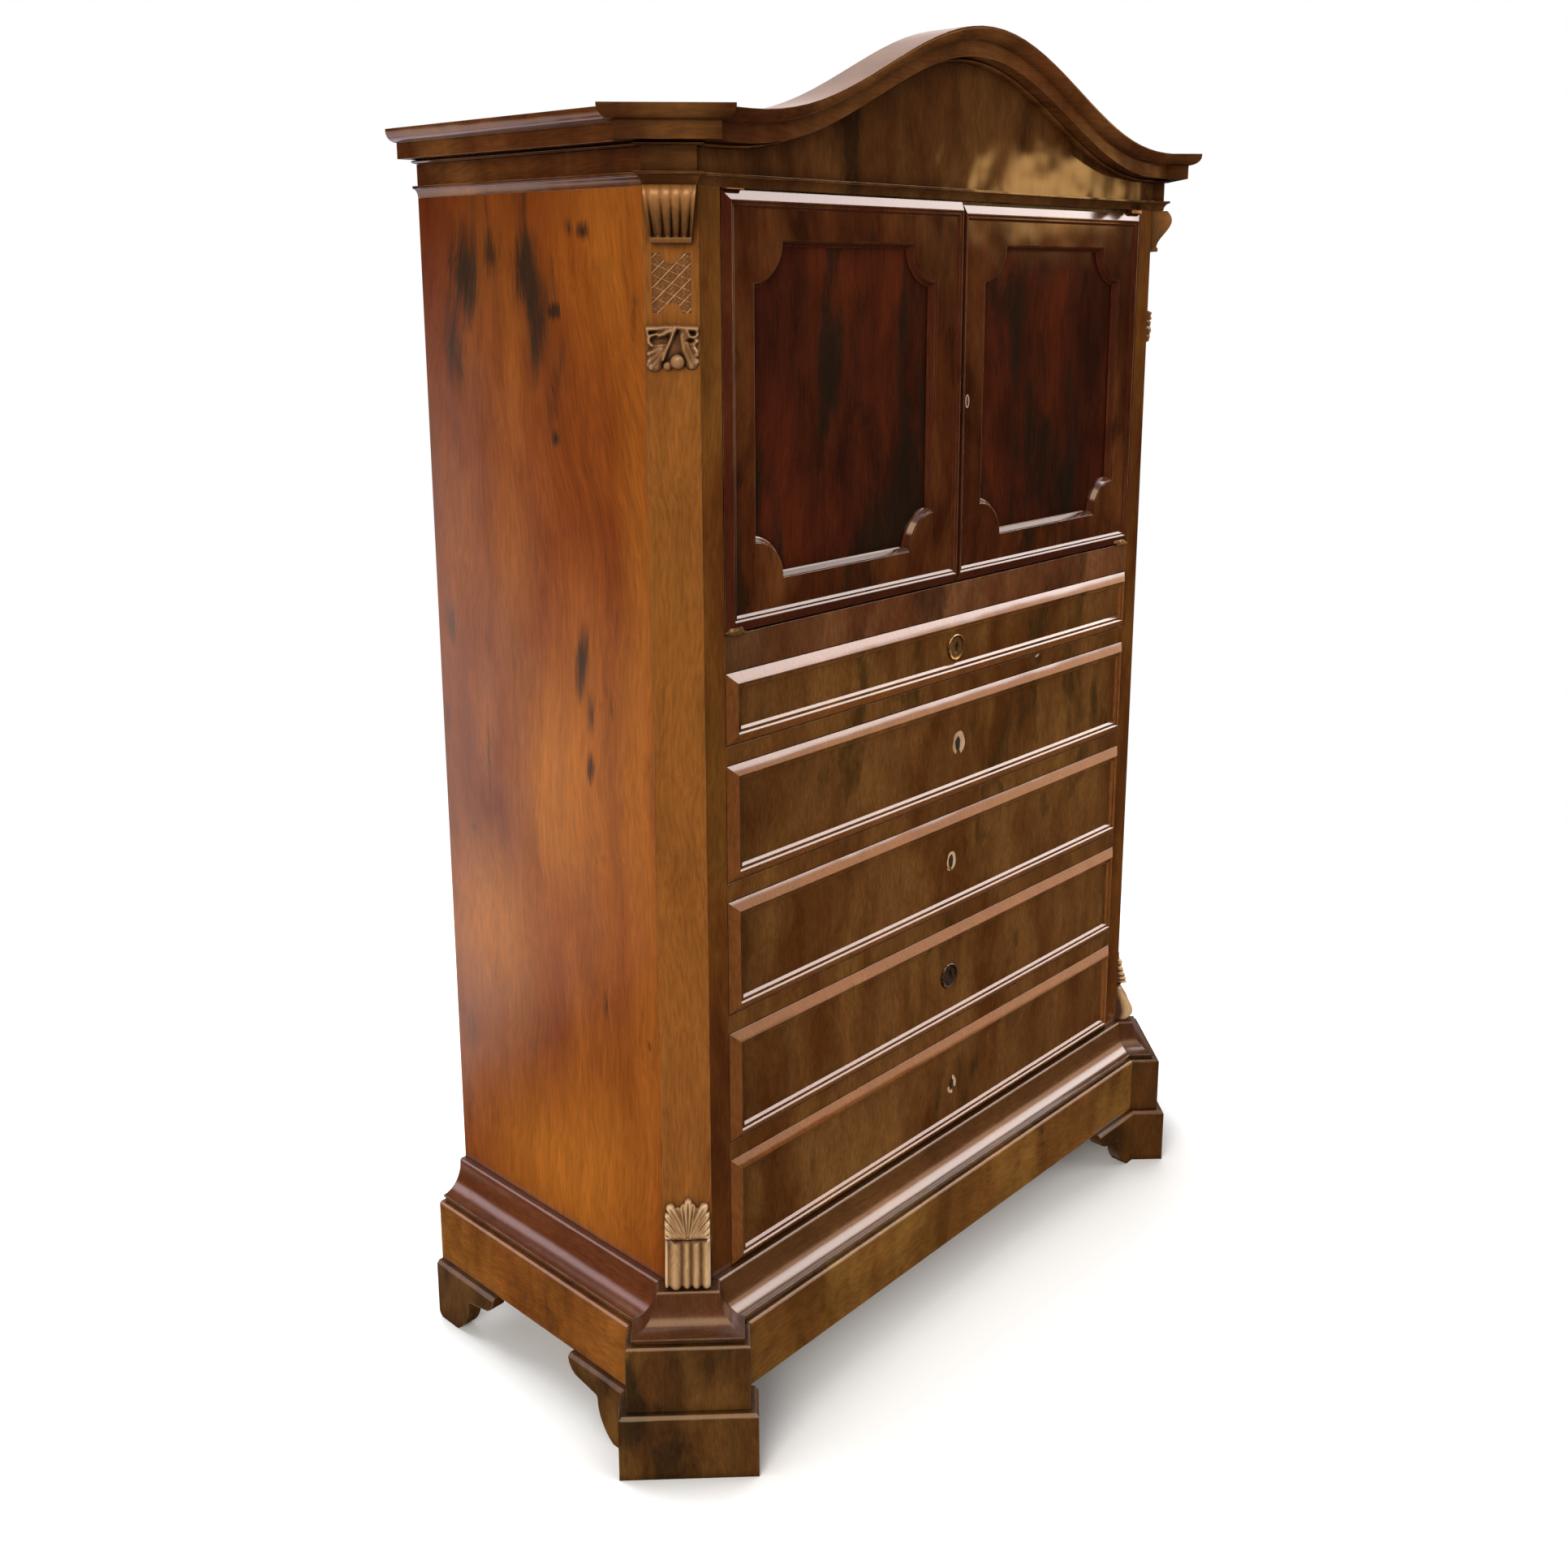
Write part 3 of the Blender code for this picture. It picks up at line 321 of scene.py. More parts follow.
woods = {
    "side": veneer("walnut veneer, sides", "58230A 783A10 96571B 241A12", 0.3, 0, length=14,
        polish=0.14, sag=0.3 * MM, dark_marks=((SIDE_FLAMES, 0.045), (SIDE_KNOTS, 0.015)),
        gold_marks=GOLD_MARKS, crotch=(0.125, 1.05, 1.56, 0.65)),
    "front": veneer("walnut veneer, front", DRAWER_TONES, 0.1, 0.1, length=4),
    "rail": veneer("walnut veneer, cupboard rail", "562E18 6E4428 7E5636 3A2213", 0.1, 0.1,
        length=4, dim=(-0.43, -0.2, 0.5)),
    "drawer": veneer("walnut veneer, drawer fronts", DRAWER_TONES, 0.1, 0.1, length=4, coat=0.9,
        edge="7E4A24", dim=(-0.43, -0.27, 0.72)),
    # The lighter edge tone falls on the post's cant, so it is lighter than the front beside it: painted light.
    "post": veneer("walnut veneer, corner posts", "48240E 623814 724A1C 321E0D", 0.12, 0.04,
        edge="845122"),
    "door": veneer("walnut veneer, door frames", "321508 4C240E 62391A 22150A", 0.09, 0.13,
        edge="421C10"),
    "panel": veneer("mahogany veneer, door panels", "2A120A 451B0D 5A2610 1C160E", 0.12, 0.15,
        length=16),
    "frieze": veneer("walnut veneer, frieze", "3C220E 523016 6A4522 24160B", 0.12, 0.1,
        length=6, polish=0.06, sag=1.2 * MM),
    "moulding": veneer("walnut, cornice mouldings", "40200D 5C3418 724824 2A180B", 0.14, 0.08,
        level=True, corner_shade=0.75),
    # Darker tones and a long corner reach: partly the wood's own, partly painted shade under the overhang.
    "cornice_block": veneer("walnut, cornice blocks, painted shade", "381C0C 503016 64401F 261609", 0.14, 0.08,
        level=True, corner_shade=0.22, corner=45 * MM),
    "plinth": veneer("walnut veneer, base", "583612 744A20 8A622A 38240F", 0.11, 0.1,
        cove=("4E301A", COVE_Z), polish=0.18, **base),
    "plinth_side": veneer("walnut veneer, base sides", "5C3310 784519 8C5A22 3C2410", 0.11, 0.08,
        cove=("52291A", COVE_Z), polish=0.15, **base),
    "block": veneer("walnut veneer, blocks and feet", "38220D 503012 66461D 281B0C", 0.09, 0.1,
        length=5, cove=("4E2C1A", COVE_Z), worn="90785E", rubbed=2.2 * MM, polish=0.24, coat=0.6),
}
print("veneers", [material.name for material in woods.values()])

# %% [markdown]
# ## Plain woods and metals
#
# Inside, nobody polished anything: the boxes, shelf and back are pale deal, open in the grain and dull. The
# carvings are walnut, waxed rather than polished, so they stay lighter; their waxed hollows are dark, partly
# with painted shade, and their crowns pale, partly from wear and partly as painted highlight. The key plates
# are bronze and brass, brown where hands never reach and bright where they do.

# %% Inside wood
def plain_wood(name, dark, light, board=None):
    """Unpolished softwood: long dull streaks along the grain and a faint ridge for each. board is the width
    of upright boards side by side, each a shade apart from the next and parted by a dark joint."""
    material, add, shader, coords = new_material(name)
    grain = add("Mapping", {"Vector": coords, "Scale": (1, 1, 0.06)})
    bands = add("TexNoise", {"Vector": grain, "Scale": 1 / (9 * MM), "Detail": 6, "Roughness": 0.62})
    bands = add("MapRange", {0: bands, 1: 0.32, 2: 0.68})
    stain = add("TexNoise", {"Vector": coords, "Scale": 1 / (220 * MM), "Detail": 3})
    stain = add("MapRange", {0: stain, 1: 0.35, 2: 0.7, 3: 0.78, 4: 1.04})
    if board:
        along = add("SeparateXYZ", {0: coords}).outputs["X"]
        along = add("Math", {0: along, 1: board}, "DIVIDE")
        joint = add("Math", {0: along, 1: 1}, "PINGPONG")
        joint = add("MapRange", {0: joint, 2: 2 * MM / board, 3: 0.3})
        shade = add("Math", {0: along}, "ROUND")
        shade = add("TexWhiteNoise", {"W": shade}, noise_dimensions="1D")
        shade = add("MapRange", {0: shade, 3: 0.8, 4: 1.1})
        for factor in (shade, joint):
            stain = add("Math", {0: stain, 1: factor}, "MULTIPLY")
    wood = add("Mix", {0: bands, 6: to_linear(dark), 7: to_linear(light)}, data_type="RGBA")
    wood = add("Mix", {0: 1, 6: wood, 7: stain}, data_type="RGBA", blend_type="MULTIPLY")
    ridge = add("Bump", {"Height": bands, "Strength": 0.12, "Distance": 0.4 * MM})
    fill(shader, {"Base Color": wood, "Normal": ridge, "Roughness": 0.72})
    return material


deal = plain_wood("deal, inside", "8A6438", "B08B58")
back_deal = plain_wood("deal, back boards", "77542E", "9C784A", board=240 * MM)
dusty_deal = plain_wood("deal, dusty top", "7A6248", "A08A6C")
print("inside woods", deal.name, dusty_deal.name, back_deal.name)

# %% Carved walnut
def carved_wood(name, hollow, middle, crown):
    """Waxed carving: darker in the waxed hollows and paler on the crowns after the piece's own rubbed
    attribute, partly wear and partly painted shade and highlight, with a short grain and a soft sheen."""
    material, add, shader, coords = new_material(name)
    grain = add("Mapping", {"Vector": coords, "Scale": (1, 1, 0.2)})
    bands = add("TexNoise", {"Vector": grain, "Scale": 1 / (3.5 * MM), "Detail": 4})
    stands = add("Attribute", {}, attribute_name="rubbed").outputs["Fac"]
    stands = add("Math", {0: bands, 1: 0.4, 2: stands}, "MULTIPLY_ADD")
    low = add("MapRange", {0: stands, 1: 0.28, 2: 0.7})
    high = add("MapRange", {0: stands, 1: 0.7, 2: 1.15})
    wood = add("Mix", {0: low, 6: to_linear(hollow), 7: to_linear(middle)}, data_type="RGBA")
    wood = add("Mix", {0: high, 6: wood, 7: to_linear(crown)}, data_type="RGBA")
    # Ambient Occlusion darkens the crevices: painted shade.
    deep = add("AmbientOcclusion", {"Distance": 6 * MM}, samples=8).outputs["AO"]
    deep = add("MapRange", {0: deep, 1: 0.2, 2: 0.8, 3: 0.42})
    wood = add("Mix", {0: 1, 6: wood, 7: deep}, data_type="RGBA", blend_type="MULTIPLY")
    ridge = add("Bump", {"Height": bands, "Strength": 0.15, "Distance": 0.3 * MM})
    fill(shader, {"Base Color": wood, "Normal": ridge, "Roughness": 0.4, "Specular IOR Level": 0.2,
                  "Coat Weight": 0.6, "Coat Roughness": 0.24})
    return material


carvings = {
    "corbel": carved_wood("walnut, corbels waxed", "38220E", "704822", "986A3C"),
    "lattice": carved_wood("walnut, punched lattice", "40260C", "673F1B", "CCA87E"),
    "leaf": carved_wood("walnut, leaf carving", "261609", "644228", "9C7850"),
    "shell": carved_wood("walnut, shell and scroll", "40291A", "8A6846", "B89A72"),
}
print("carving woods", [material.name for material in carvings.values()])

# %% Metals, inlay and the dark of a keyhole
def old_metal(name, bare, tarnish, share, roughness):
    """Handled metal: bare where it is rubbed, brown tarnish elsewhere in patches a few millimetres wide."""
    material, add, shader, coords = new_material(name)
    patch = add("TexNoise", {"Vector": coords, "Scale": 1 / (6 * MM), "Detail": 5, "Roughness": 0.65})
    patch = add("MapRange", {0: patch, 1: share - 0.12, 2: share + 0.12})
    metal = add("Mix", {0: patch, 6: to_linear(bare), 7: to_linear(tarnish)}, data_type="RGBA")
    dull = add("MapRange", {0: patch, 3: roughness, 4: roughness + 0.25})
    pits = add("Bump", {"Height": patch, "Strength": 0.2, "Distance": 0.2 * MM})
    fill(shader, {"Base Color": metal, "Roughness": dull, "Normal": pits, "Metallic": 1})
    return material


brass = old_metal("brass, handled", "C0A06A", "6A5236", 0.52, 0.34)
bronze = old_metal("bronze, dark", "7A6A5A", "3E352E", 0.46, 0.42)
inlay = plain_wood("pear inlay, worn", "9A7A58", "CCAE8A")
keyhole_shade = plain_wood("keyhole, painted shade", "0C0805", "160E08")
print("metals", brass.name, bronze.name)

# %% [markdown]
# ## Which solid gets which finish
#
# Flat boards keep their solid and only change material. Mouldings with curves come as loose flat triangles,
# so a copy of each is merged into one skin and its gentle edges are shaded round, while true arrises stay
# sharp.

# %% Finishes by node
def finish_nodes(material, *names):
    """Puts one material on solids."""
    for name in names:
        nodes[name].data.materials.clear()
        nodes[name].data.materials.append(material)
    print(material.name, "on", len(names))


sides = ("left", "right")
for wood, board in (("side", "side_panel"), ("post", "corner_post"), ("panel", "door_panel")):
    finish_nodes(woods[wood], *(f"{side}_{board}" for side in sides))
finish_nodes(woods["rail"], "cupboard_rail")
finish_nodes(woods["front"], *(f"dust_board_{k}" for k in range(1, 5)))
finish_nodes(deal, "bottom_board", "top_board", "cupboard_floor", "cupboard_shelf",
             *(f"drawer_{k}_box" for k in range(1, 6)))
finish_nodes(back_deal, "back_panel", "plinth_back")
finish_nodes(dusty_deal, "cornice_dust_board")
finish_nodes(brass, *(f"{side}_door_{level}_pivot" for side in sides for level in ("upper", "lower")))
finish_nodes(bronze, "right_door_lock")

# %% Smooth copies of the curved mouldings
scene = bpy.context.scene


def linked(name, data):
    """A new object in the scene, for a mesh, a lamp or a camera."""
    item = bpy.data.objects.new(name, data)
    scene.collection.objects.link(item)
    return item


def dress(name, mesh, material, body, replaced, angle):
    """Makes a mesh a piece that rides a body and stands in for nodes. Edges under the angle look round."""
    mesh.materials.append(material)
    mesh.shade_smooth()
    mesh.set_sharp_from_angle(angle=math.radians(angle))
    piece = linked(name, mesh)
    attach(piece, body)
    if replaced:
        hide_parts(*replaced)
    return piece


def smooth_copy(name, material, angle=24):
    """The node's own skin: corners closer than 0.01 mm become one."""
    source = nodes[name].data
    places = np.zeros(len(source.vertices) * 3)
    source.vertices.foreach_get("co", places)
    corners = np.zeros(len(source.loops), dtype=np.int64)
    source.loops.foreach_get("vertex_index", corners)
    merged, index = np.unique(np.round(places.reshape(-1, 3), 5), axis=0, return_inverse=True)
    triangles = index.reshape(-1)[corners].reshape(-1, 3)
    first, second, third = triangles.T
    whole = (first != second) & (second != third) & (third != first)
    mesh = bpy.data.meshes.new(name + "_skin")
    mesh.from_pydata(merged.tolist(), [], triangles[whole].tolist())
    dress(name + "_skin", mesh, material, body_of_node[name], [name], angle)


for side in sides:
    smooth_copy(f"{side}_door_frame", woods["door"], angle=22)
    smooth_copy(f"frieze_{side}", woods["moulding"])
    smooth_copy(f"crown_{side}", woods["moulding"])
    smooth_copy(f"{side}_cornice_block", woods["cornice_block"])
    smooth_copy(f"plinth_{side}", woods["plinth_side"], angle=35)
    smooth_copy(f"{side}_plinth_block", woods["block"], angle=35)
    for end in ("front", "back"):
        smooth_copy(f"{end}_{side}_foot", woods["block"])
smooth_copy("frieze_front", woods["frieze"])
smooth_copy("crown_front", woods["moulding"])
smooth_copy("plinth_front", woods["plinth"], angle=35)

# %% [markdown]
# ## A skin over rings
#
# Every new piece below is one idea: a grid of points. Its rows are rings, each ring closes on itself, and the
# first and last rings are capped or joined to each other, so the skin has no gap. The points come as whole
# arrays, so a carving with twenty thousand points takes a moment.

# %% Skin
def points(x, y, z):
    """Places from three arrays, each widened to the shape that they share."""
    return np.stack(np.broadcast_arrays(x, y, z), -1)


def ring_faces(rings, looped=False):
    """Faces of a grid whose rows are rings. looped joins the last ring to the first, else both get a cap."""
    index = np.arange(rings[..., 0].size).reshape(rings.shape[:2])
    low, high = (index, np.roll(index, -1, 0)) if looped else (index[:-1], index[1:])
    quads = np.stack([low, np.roll(low, -1, 1), np.roll(high, -1, 1), high], -1).reshape(-1, 4).tolist()
    return quads if looped else quads + [index[0, ::-1].tolist(), index[-1].tolist()]


def skin(name, rings, material, body, replaced=(), looped=False, angle=40):
    """A closed skin over rings, an array of (rows, columns, 3), with its faces turned outward."""
    mesh = bpy.data.meshes.new(name)
    mesh.from_pydata(rings.reshape(-1, 3).tolist(), [], ring_faces(rings, looped))
    shell = bmesh.new()
    shell.from_mesh(mesh)
    bmesh.ops.recalc_face_normals(shell, faces=shell.faces)
    shell.to_mesh(mesh)
    shell.free()
    piece = dress(name, mesh, material, body, replaced, angle)
    return piece


print("a skin is one grid of points")

# %% [markdown]
# ## Drawer fronts
#
# A drawer front is a raised frame round a sunk field. Its chamfer was planed by hand and rubbed ever since,
# so it is a shade rounder than a ruled one, and light runs over it from bright to brown. The front is a stack
# of rectangles: each ring has an inset and a height, and the chamfer's rings bulge by a sine.

# %% Drawer fronts
# Millimetres in from the edge of a front and out of the case
BOARD, CHAMFER_IN, CHAMFER_OUT = 20, 12, 8.5
FRAME_IN, FRAME_OUT = (13, 14.8, 18.2, 21), (8.5, 6.3, 6.3, 3)


def drawer_front(number, bulge):
    """Rings from the back edge to the field: a straight side, a chamfer that rises by CHAMFER_OUT t + bulge
    sin(pi t) mm for t from 0 to 1, then a ridge, a step, a fillet and a slope."""
    low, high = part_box(f"drawer_{number}_front")
    t = np.linspace(0, 1, 9)
    chamfer = CHAMFER_OUT * t + bulge * np.sin(np.pi * t)
    inset = np.concatenate([[0], CHAMFER_IN * t, FRAME_IN])[:, None] * MM
    out = np.concatenate([[-BOARD], chamfer, FRAME_OUT])[:, None] * MM
    x = np.where([True, False, False, True], low.x + inset, high.x - inset)
    z = np.where([True, True, False, False], low.z + inset, high.z - inset)
    rings = points(x, low.y + CHAMFER_OUT * MM - out, z)
    return skin(f"drawer_{number}_moulded_front", rings, woods["drawer"], f"drawer_{number}",
                [f"drawer_{number}_front"], angle=25)


for number, bulge in ((1, 0.15), (2, 0.25), (3, 0.4), (4, 0.4), (5, 0.4)):
    print(drawer_front(number, bulge).name)

# %% [markdown]
# ## Places on the canted corners
#
# The carvings stand on the cants, which are turned by 45 degrees. Each is drawn flat, as a height over a
# grid, and one function lays the grid on the left or the right cant.

# %% Carving on a cant
def on_cant(side, across, up, out):
    """Places on a cant: across it, up from the floor and out of its face. The right one is a mirror image."""
    sign = -1 if side == "left" else 1
    across = -sign * across
    x = sign * (HALF_WIDTH - CANT / 2) + DIAGONAL * (across + sign * out)
    y = FRONT_Y + CANT / 2 + DIAGONAL * (sign * across - out)
    return points(x, y, up)


def local_mean(out, reach):
    """Mean over reach points each way, from running sums along both axes."""
    for axis in (0, 1):
        rows = np.moveaxis(out, axis, 0)
        padded = np.concatenate([rows[:1].repeat(reach + 1, 0), rows, rows[-1:].repeat(reach, 0)])
        total = np.cumsum(padded, 0)
        out = np.moveaxis((total[2 * reach + 1 :] - total[: -2 * reach - 1]) / (2 * reach + 1), 0, axis)
    return out


# Reach of the two means, in points of the grid
NEAR, WIDE = 9, 26


def relief(name, kind, base, across, up, out, back, span, node=None, painted_shading=0):
    """Carves both cants, in mm over a base height: level rows of the face at out, worn a little and each
    closed by a straight back. The rubbed attribute is 0.5 + (out - mean of the carving round it) / span -
    painted_shading, where the mean is half a near and half a wide one, both without the ground beside the
    carving. Crowns come out paler and hollows darker, partly wear and partly painted highlight and shade,
    and painted_shading paints shade where it is above zero and a highlight where it is below."""
    across, up, out = np.broadcast_arrays(across, up, out)
    out = local_mean(out, 1)
    carved = (out > out.min() + 0.2).astype(float)
    near, wide = (local_mean(out * carved, reach) / np.maximum(local_mean(carved, reach), 0.01)
                  for reach in (NEAR, WIDE))
    # Paler crowns and darker hollows: partly wear, partly painted highlight and shade.
    rubbed = np.where(carved > 0, np.clip(0.5 + (out - 0.5 * (near + wide)) / span - painted_shading, 0, 1), 0.3)
    behind = np.ones_like(out[:, :2])
    rubbed = np.concatenate([rubbed, 0.2 * behind], 1)
    across = np.concatenate([across, across[:, -1:], across[:, :1]], 1)
    up = np.concatenate([up, up[:, :2]], 1)
    out = np.concatenate([out, back * behind], 1)
    for side in sides:
        rings = on_cant(side, across * MM, base + up * MM, out * MM)
        replaced = [f"{side}_{node}"] if node else ()
        piece = skin(f"{side}_{name}", rings, carvings[kind], "case", replaced, angle=65)
        layer = piece.data.attributes.new("rubbed", "FLOAT", "POINT")
        layer.data.foreach_set("value", rubbed.ravel())
        print(piece.name, len(layer.data), "points")


def ease(t):
    """0 to 1 with level ends."""
    t = np.clip(t, 0, 1)
    return t * t * (3 - 2 * t)


print("a carving's rows run across the cant, its rings up the post")

# %% [markdown]
# ## Corbels
#
# Under each cornice block hangs a console with rounded ribs. It swells towards the top, where the ribs roll
# over, and tapers to a plain fillet. The face is a function of height and of the place across: a swelling
# curve less a groove between each two ribs. The grooves were cut by eye, so their places are uneven. Painted
# shade darkens the hollow under the roll, and a painted highlight lightens the top of the roll.

# %% Corbels
GROOVES = np.array([-1.17, -0.83, -0.33, 0.07, 0.45, 0.85, 1.15])
CORBEL_HEIGHT = 59.5


def corbel():
    """Depth = swell(v) - groove(v) * (1 - rib), v from the fillet up. A rib is a half round from one groove
    to the next, sqrt(1 - t^2) with t from -1 to 1 across it."""
    v = np.linspace(0, 1, 120)[:, None]
    s = np.linspace(-1, 1, 191)[None, :]
    above = ease((v - 0.085) / 0.03)
    swell = 13 - 2.5 * above + 21 * ease((v - 0.1) / 0.66)
    swell = swell - 8 * np.clip((v - 0.76) / 0.24, 0, 1) ** 2
    start = np.searchsorted(GROOVES, s) - 1
    t = (2 * s - GROOVES[start] - GROOVES[start + 1]) / (GROOVES[start + 1] - GROOVES[start])
    rib = np.sqrt(1 - t ** 2)
    groove = above * (1.6 + 4.4 * ease((0.84 - v) / 0.45))
    # Painted shade on the hollow under the roll, a painted highlight on the top of the roll.
    painted_shading = 0.2 * ease((0.7 - v) / 0.35) - 0.14 * ease((v - 0.72) / 0.1)
    relief("corbel_carving", "corbel", CASE_TOP, (22 + 6.5 * v) * s, (v - 1) * CORBEL_HEIGHT,
           swell - groove * (1 - rib), 0.3, 9, "corbel", painted_shading)


corbel()

# %% [markdown]
# ## Lattice
#
# Between corbel and leaf the post has a sunk field with two plain lunettes. Its ground is punched, and thin
# ridges cross it, strong ones rising to the right and faint ones falling. A ridge is a narrow bell curve of
# the distance to a slanted line, so the whole field is one height function of two coordinates.

# %% Lattice fields
FIELD_X, FIELD_Z = 21.4, 31.9
FIELD_DROP = 102 * MM
STRONG_GAP, FAINT_GAP = 11.3, 11


def bell(t):
    """1 at zero, falling away on both sides as exp(-t^2)."""
    return np.exp(-(t ** 2))


def lattice():
    """Height = the highest of strong bells across one slant, faint ones across the other, two rims and a
    punched ripple."""
    x = np.linspace(-FIELD_X, FIELD_X, 150)[None, :]
    z = np.linspace(-FIELD_Z, FIELD_Z, 220)[:, None]
    strong = (z - x) / 1.414
    faint = (z + 0.43 * x) / 1.089
    strong = np.abs(strong - STRONG_GAP * np.round(strong / STRONG_GAP))
    faint = np.abs(faint - FAINT_GAP * np.round(faint / FAINT_GAP))
    ridges = np.maximum(1.3 * bell(strong / 0.5), 0.85 * bell(faint / 0.45))
    edges = 0.9 * bell((FIELD_X - np.abs(x)) / 0.8)
    punched = 0.34 * np.sin(2.3 * x + 1.3 * np.sin(0.9 * z)) * np.sin(2.1 * z + 1.1 * np.sin(1.1 * x))
    out = np.maximum(np.maximum(ridges, edges), 0.34 + punched) - 1.42
    relief("lattice", "lattice", CASE_TOP - FIELD_DROP, x, z, out, -2.5, 1.6)


lattice()

# %% [markdown]
# ## Leaf and shell
#
# Carvers build a leaf from lobes, each a gouge cut along a spine. Here a lobe is the same: a distance to a
# spine, a width and a crown. The tallest lobe wins at each place, and where there is none the face lies just
# under the post's surface, so the outline comes out as cleanly as if it were cut. The shell is made the same
# way: a low body, pairs of side lobes, and a broad middle one with three gouges.

# %% Lobes
# Bare ground in mm, just under the face of the post
GROUND = -0.8


def lobes(x, z, cuts):
    """Highest of many lobes, in mm. A cut is (spine, half width at its root, at its tip, crown, crease): the
    spine is a chain of (x, z) points, the height is a half round of the distance to it, and the crease is a
    fine valley along it. A cut with a crown below zero is a gouge into the lobes before it."""
    top = np.full(np.broadcast(x, z).shape, GROUND)
    for spine, root, tip, crown, crease in cuts:
        away = np.full(top.shape, 9)
        for step, ((x0, z0), (x1, z1)) in enumerate(zip(spine, spine[1:])):
            run = ((x - x0) * (x1 - x0) + (z - z0) * (z1 - z0)) / ((x1 - x0) ** 2 + (z1 - z0) ** 2)
            run = np.clip(run, 0, 1)
            width = root + (tip - root) * (step + run) / (len(spine) - 1)
            away = np.minimum(away, np.hypot(x - x0 - run * (x1 - x0), z - z0 - run * (z1 - z0)) / width)
        lift = crown * np.sqrt(np.clip(1 - away ** 2, 0, 1)) - crease * bell(away / 0.25)
        lift = np.maximum(top, lift) if crown > 0 else np.maximum(top + lift, 0.4)
        top = np.where(away < 1, lift, top)
    return top


def berries(x, z, balls):
    """Highest of several half-sunk balls, in mm. A ball is (x, z, radius, lift)."""
    top = np.full(np.broadcast(x, z).shape, GROUND)
    for x0, z0, radius, lift in balls:
        gap = radius ** 2 - (x - x0) ** 2 - (z - z0) ** 2
        top = np.where(gap > 0, np.maximum(top, lift + np.sqrt(np.maximum(gap, 0))), top)
    return top


print("bare ground lies at", GROUND, "mm")

# %% Leaf
LEAF_CUTS = (
    (((3, -6), (3, -20), (0, -36)), 9, 9, 1.4, 0),
    (((-8, -8), (-15, -26), (-19.5, -42)), 8.5, 9, 5.6, 0),
    (((14, -8), (17, -28), (20.6, -41)), 7.4, 7.8, 5.6, 0),
    (((-20, -16.5), (-6, -15.5)), 4.6, 5, -5.2, 0),
    (((-22, -25), (-26, -25)), 1.6, 2, -4, 0),
    (((19.5, -9.4), (25, -10)), 2.6, 2.8, -6, 0),
    (((16.5, -17.4), (23, -16.8)), 1.8, 2.4, -5, 0),
    (((23, -36.4), (28, -37.8)), 1.4, 1.8, -4.5, 0),
    (((-27, -4.4), (-16, -4.2), (-8, -3.3), (-1, -2.8)), 3, 2.8, 8, 0.4),
    (((6, -2.9), (14, -3.8), (27, -4.4)), 2.8, 3, 8, 0.4),
    (((2.7, -3.4), (2.4, -6)), 3.4, 2.6, 11.5, 0),
    (((2.4, -6), (-2.2, -17.3), (-7.6, -29.2), (-10.3, -37.8)), 2.3, 1.6, 10, 0),
    (((-1, -6.4), (-6.5, -7.6), (-9, -9.5)), 3, 2.6, 10, 0.3),
    (((-8, -9.8), (-12.5, -10.6), (-14.5, -12)), 2.6, 2, 9, 0),
    (((-15.5, -9.6), (-23.4, -11.6), (-26, -15.1), (-25, -19.5), (-21.6, -22.4)), 2, 2.2, 8.4, 0),
    (((-13.5, -25.5), (-20, -28.6), (-25.4, -31)), 2.4, 2.8, 8, 0.7),
    (((-11, -26.5), (-18.5, -33.5), (-25, -39)), 2.4, 3, 8.4, 0.8),
    (((-10.6, -30.5), (-17, -38.5), (-23.4, -46)), 2.4, 3.2, 8.4, 0.8),
    (((-11.6, -35.5), (-15, -41), (-17.8, -46)), 2.1, 2.6, 7, 0.7),
    (((15.8, -6.4), (19.2, -12.6), (23.8, -13.8), (26.6, -11.8)), 2.2, 1.9, 9, 0),
    (((26.8, -4.5), (27, -11.5)), 1.6, 1.6, 7.6, 0),
    (((-26.9, -5), (-26.4, -12)), 1.5, 1.5, 7, 0),
    (((22.4, -20.8), (23.4, -21.2)), 2.6, 2.6, 8.4, 0),
    (((25.6, -17.4), (26, -18.4)), 2.4, 2.4, 8.2, 0),
    (((23.2, -24.6), (26, -28.8), (26.2, -33.2)), 2.3, 2.2, 8.2, 0),
    (((10.5, -12), (13, -28), (20.6, -45)), 3, 3.4, 7.4, 0.6),
    (((16, -20), (20.5, -31), (24.6, -41)), 3, 3.4, 7.4, 0.6),
)
CARVED_HALF, LEAF_HEIGHT, LEAF_DROP = 28.6, 51.5, 146 * MM
LEAF_BERRIES = ((5.2, -40, 8.4, 3), (-5.7, -44.4, 5, 2.6))


def leaf():
    """A pair of leaves with two berries: the highest of all lobes and balls, over bare ground."""
    x = np.linspace(-CARVED_HALF, CARVED_HALF, 190)[None, :]
    z = np.linspace(-LEAF_HEIGHT, 0, 180)[:, None]
    worn = local_mean(local_mean(lobes(x, z, LEAF_CUTS), 3), 3)
    out = np.maximum(worn, berries(x, z, LEAF_BERRIES))
    relief("leaf", "leaf", CASE_TOP - LEAF_DROP, x, z, out, -2, 7, "leaf_carving")


leaf()

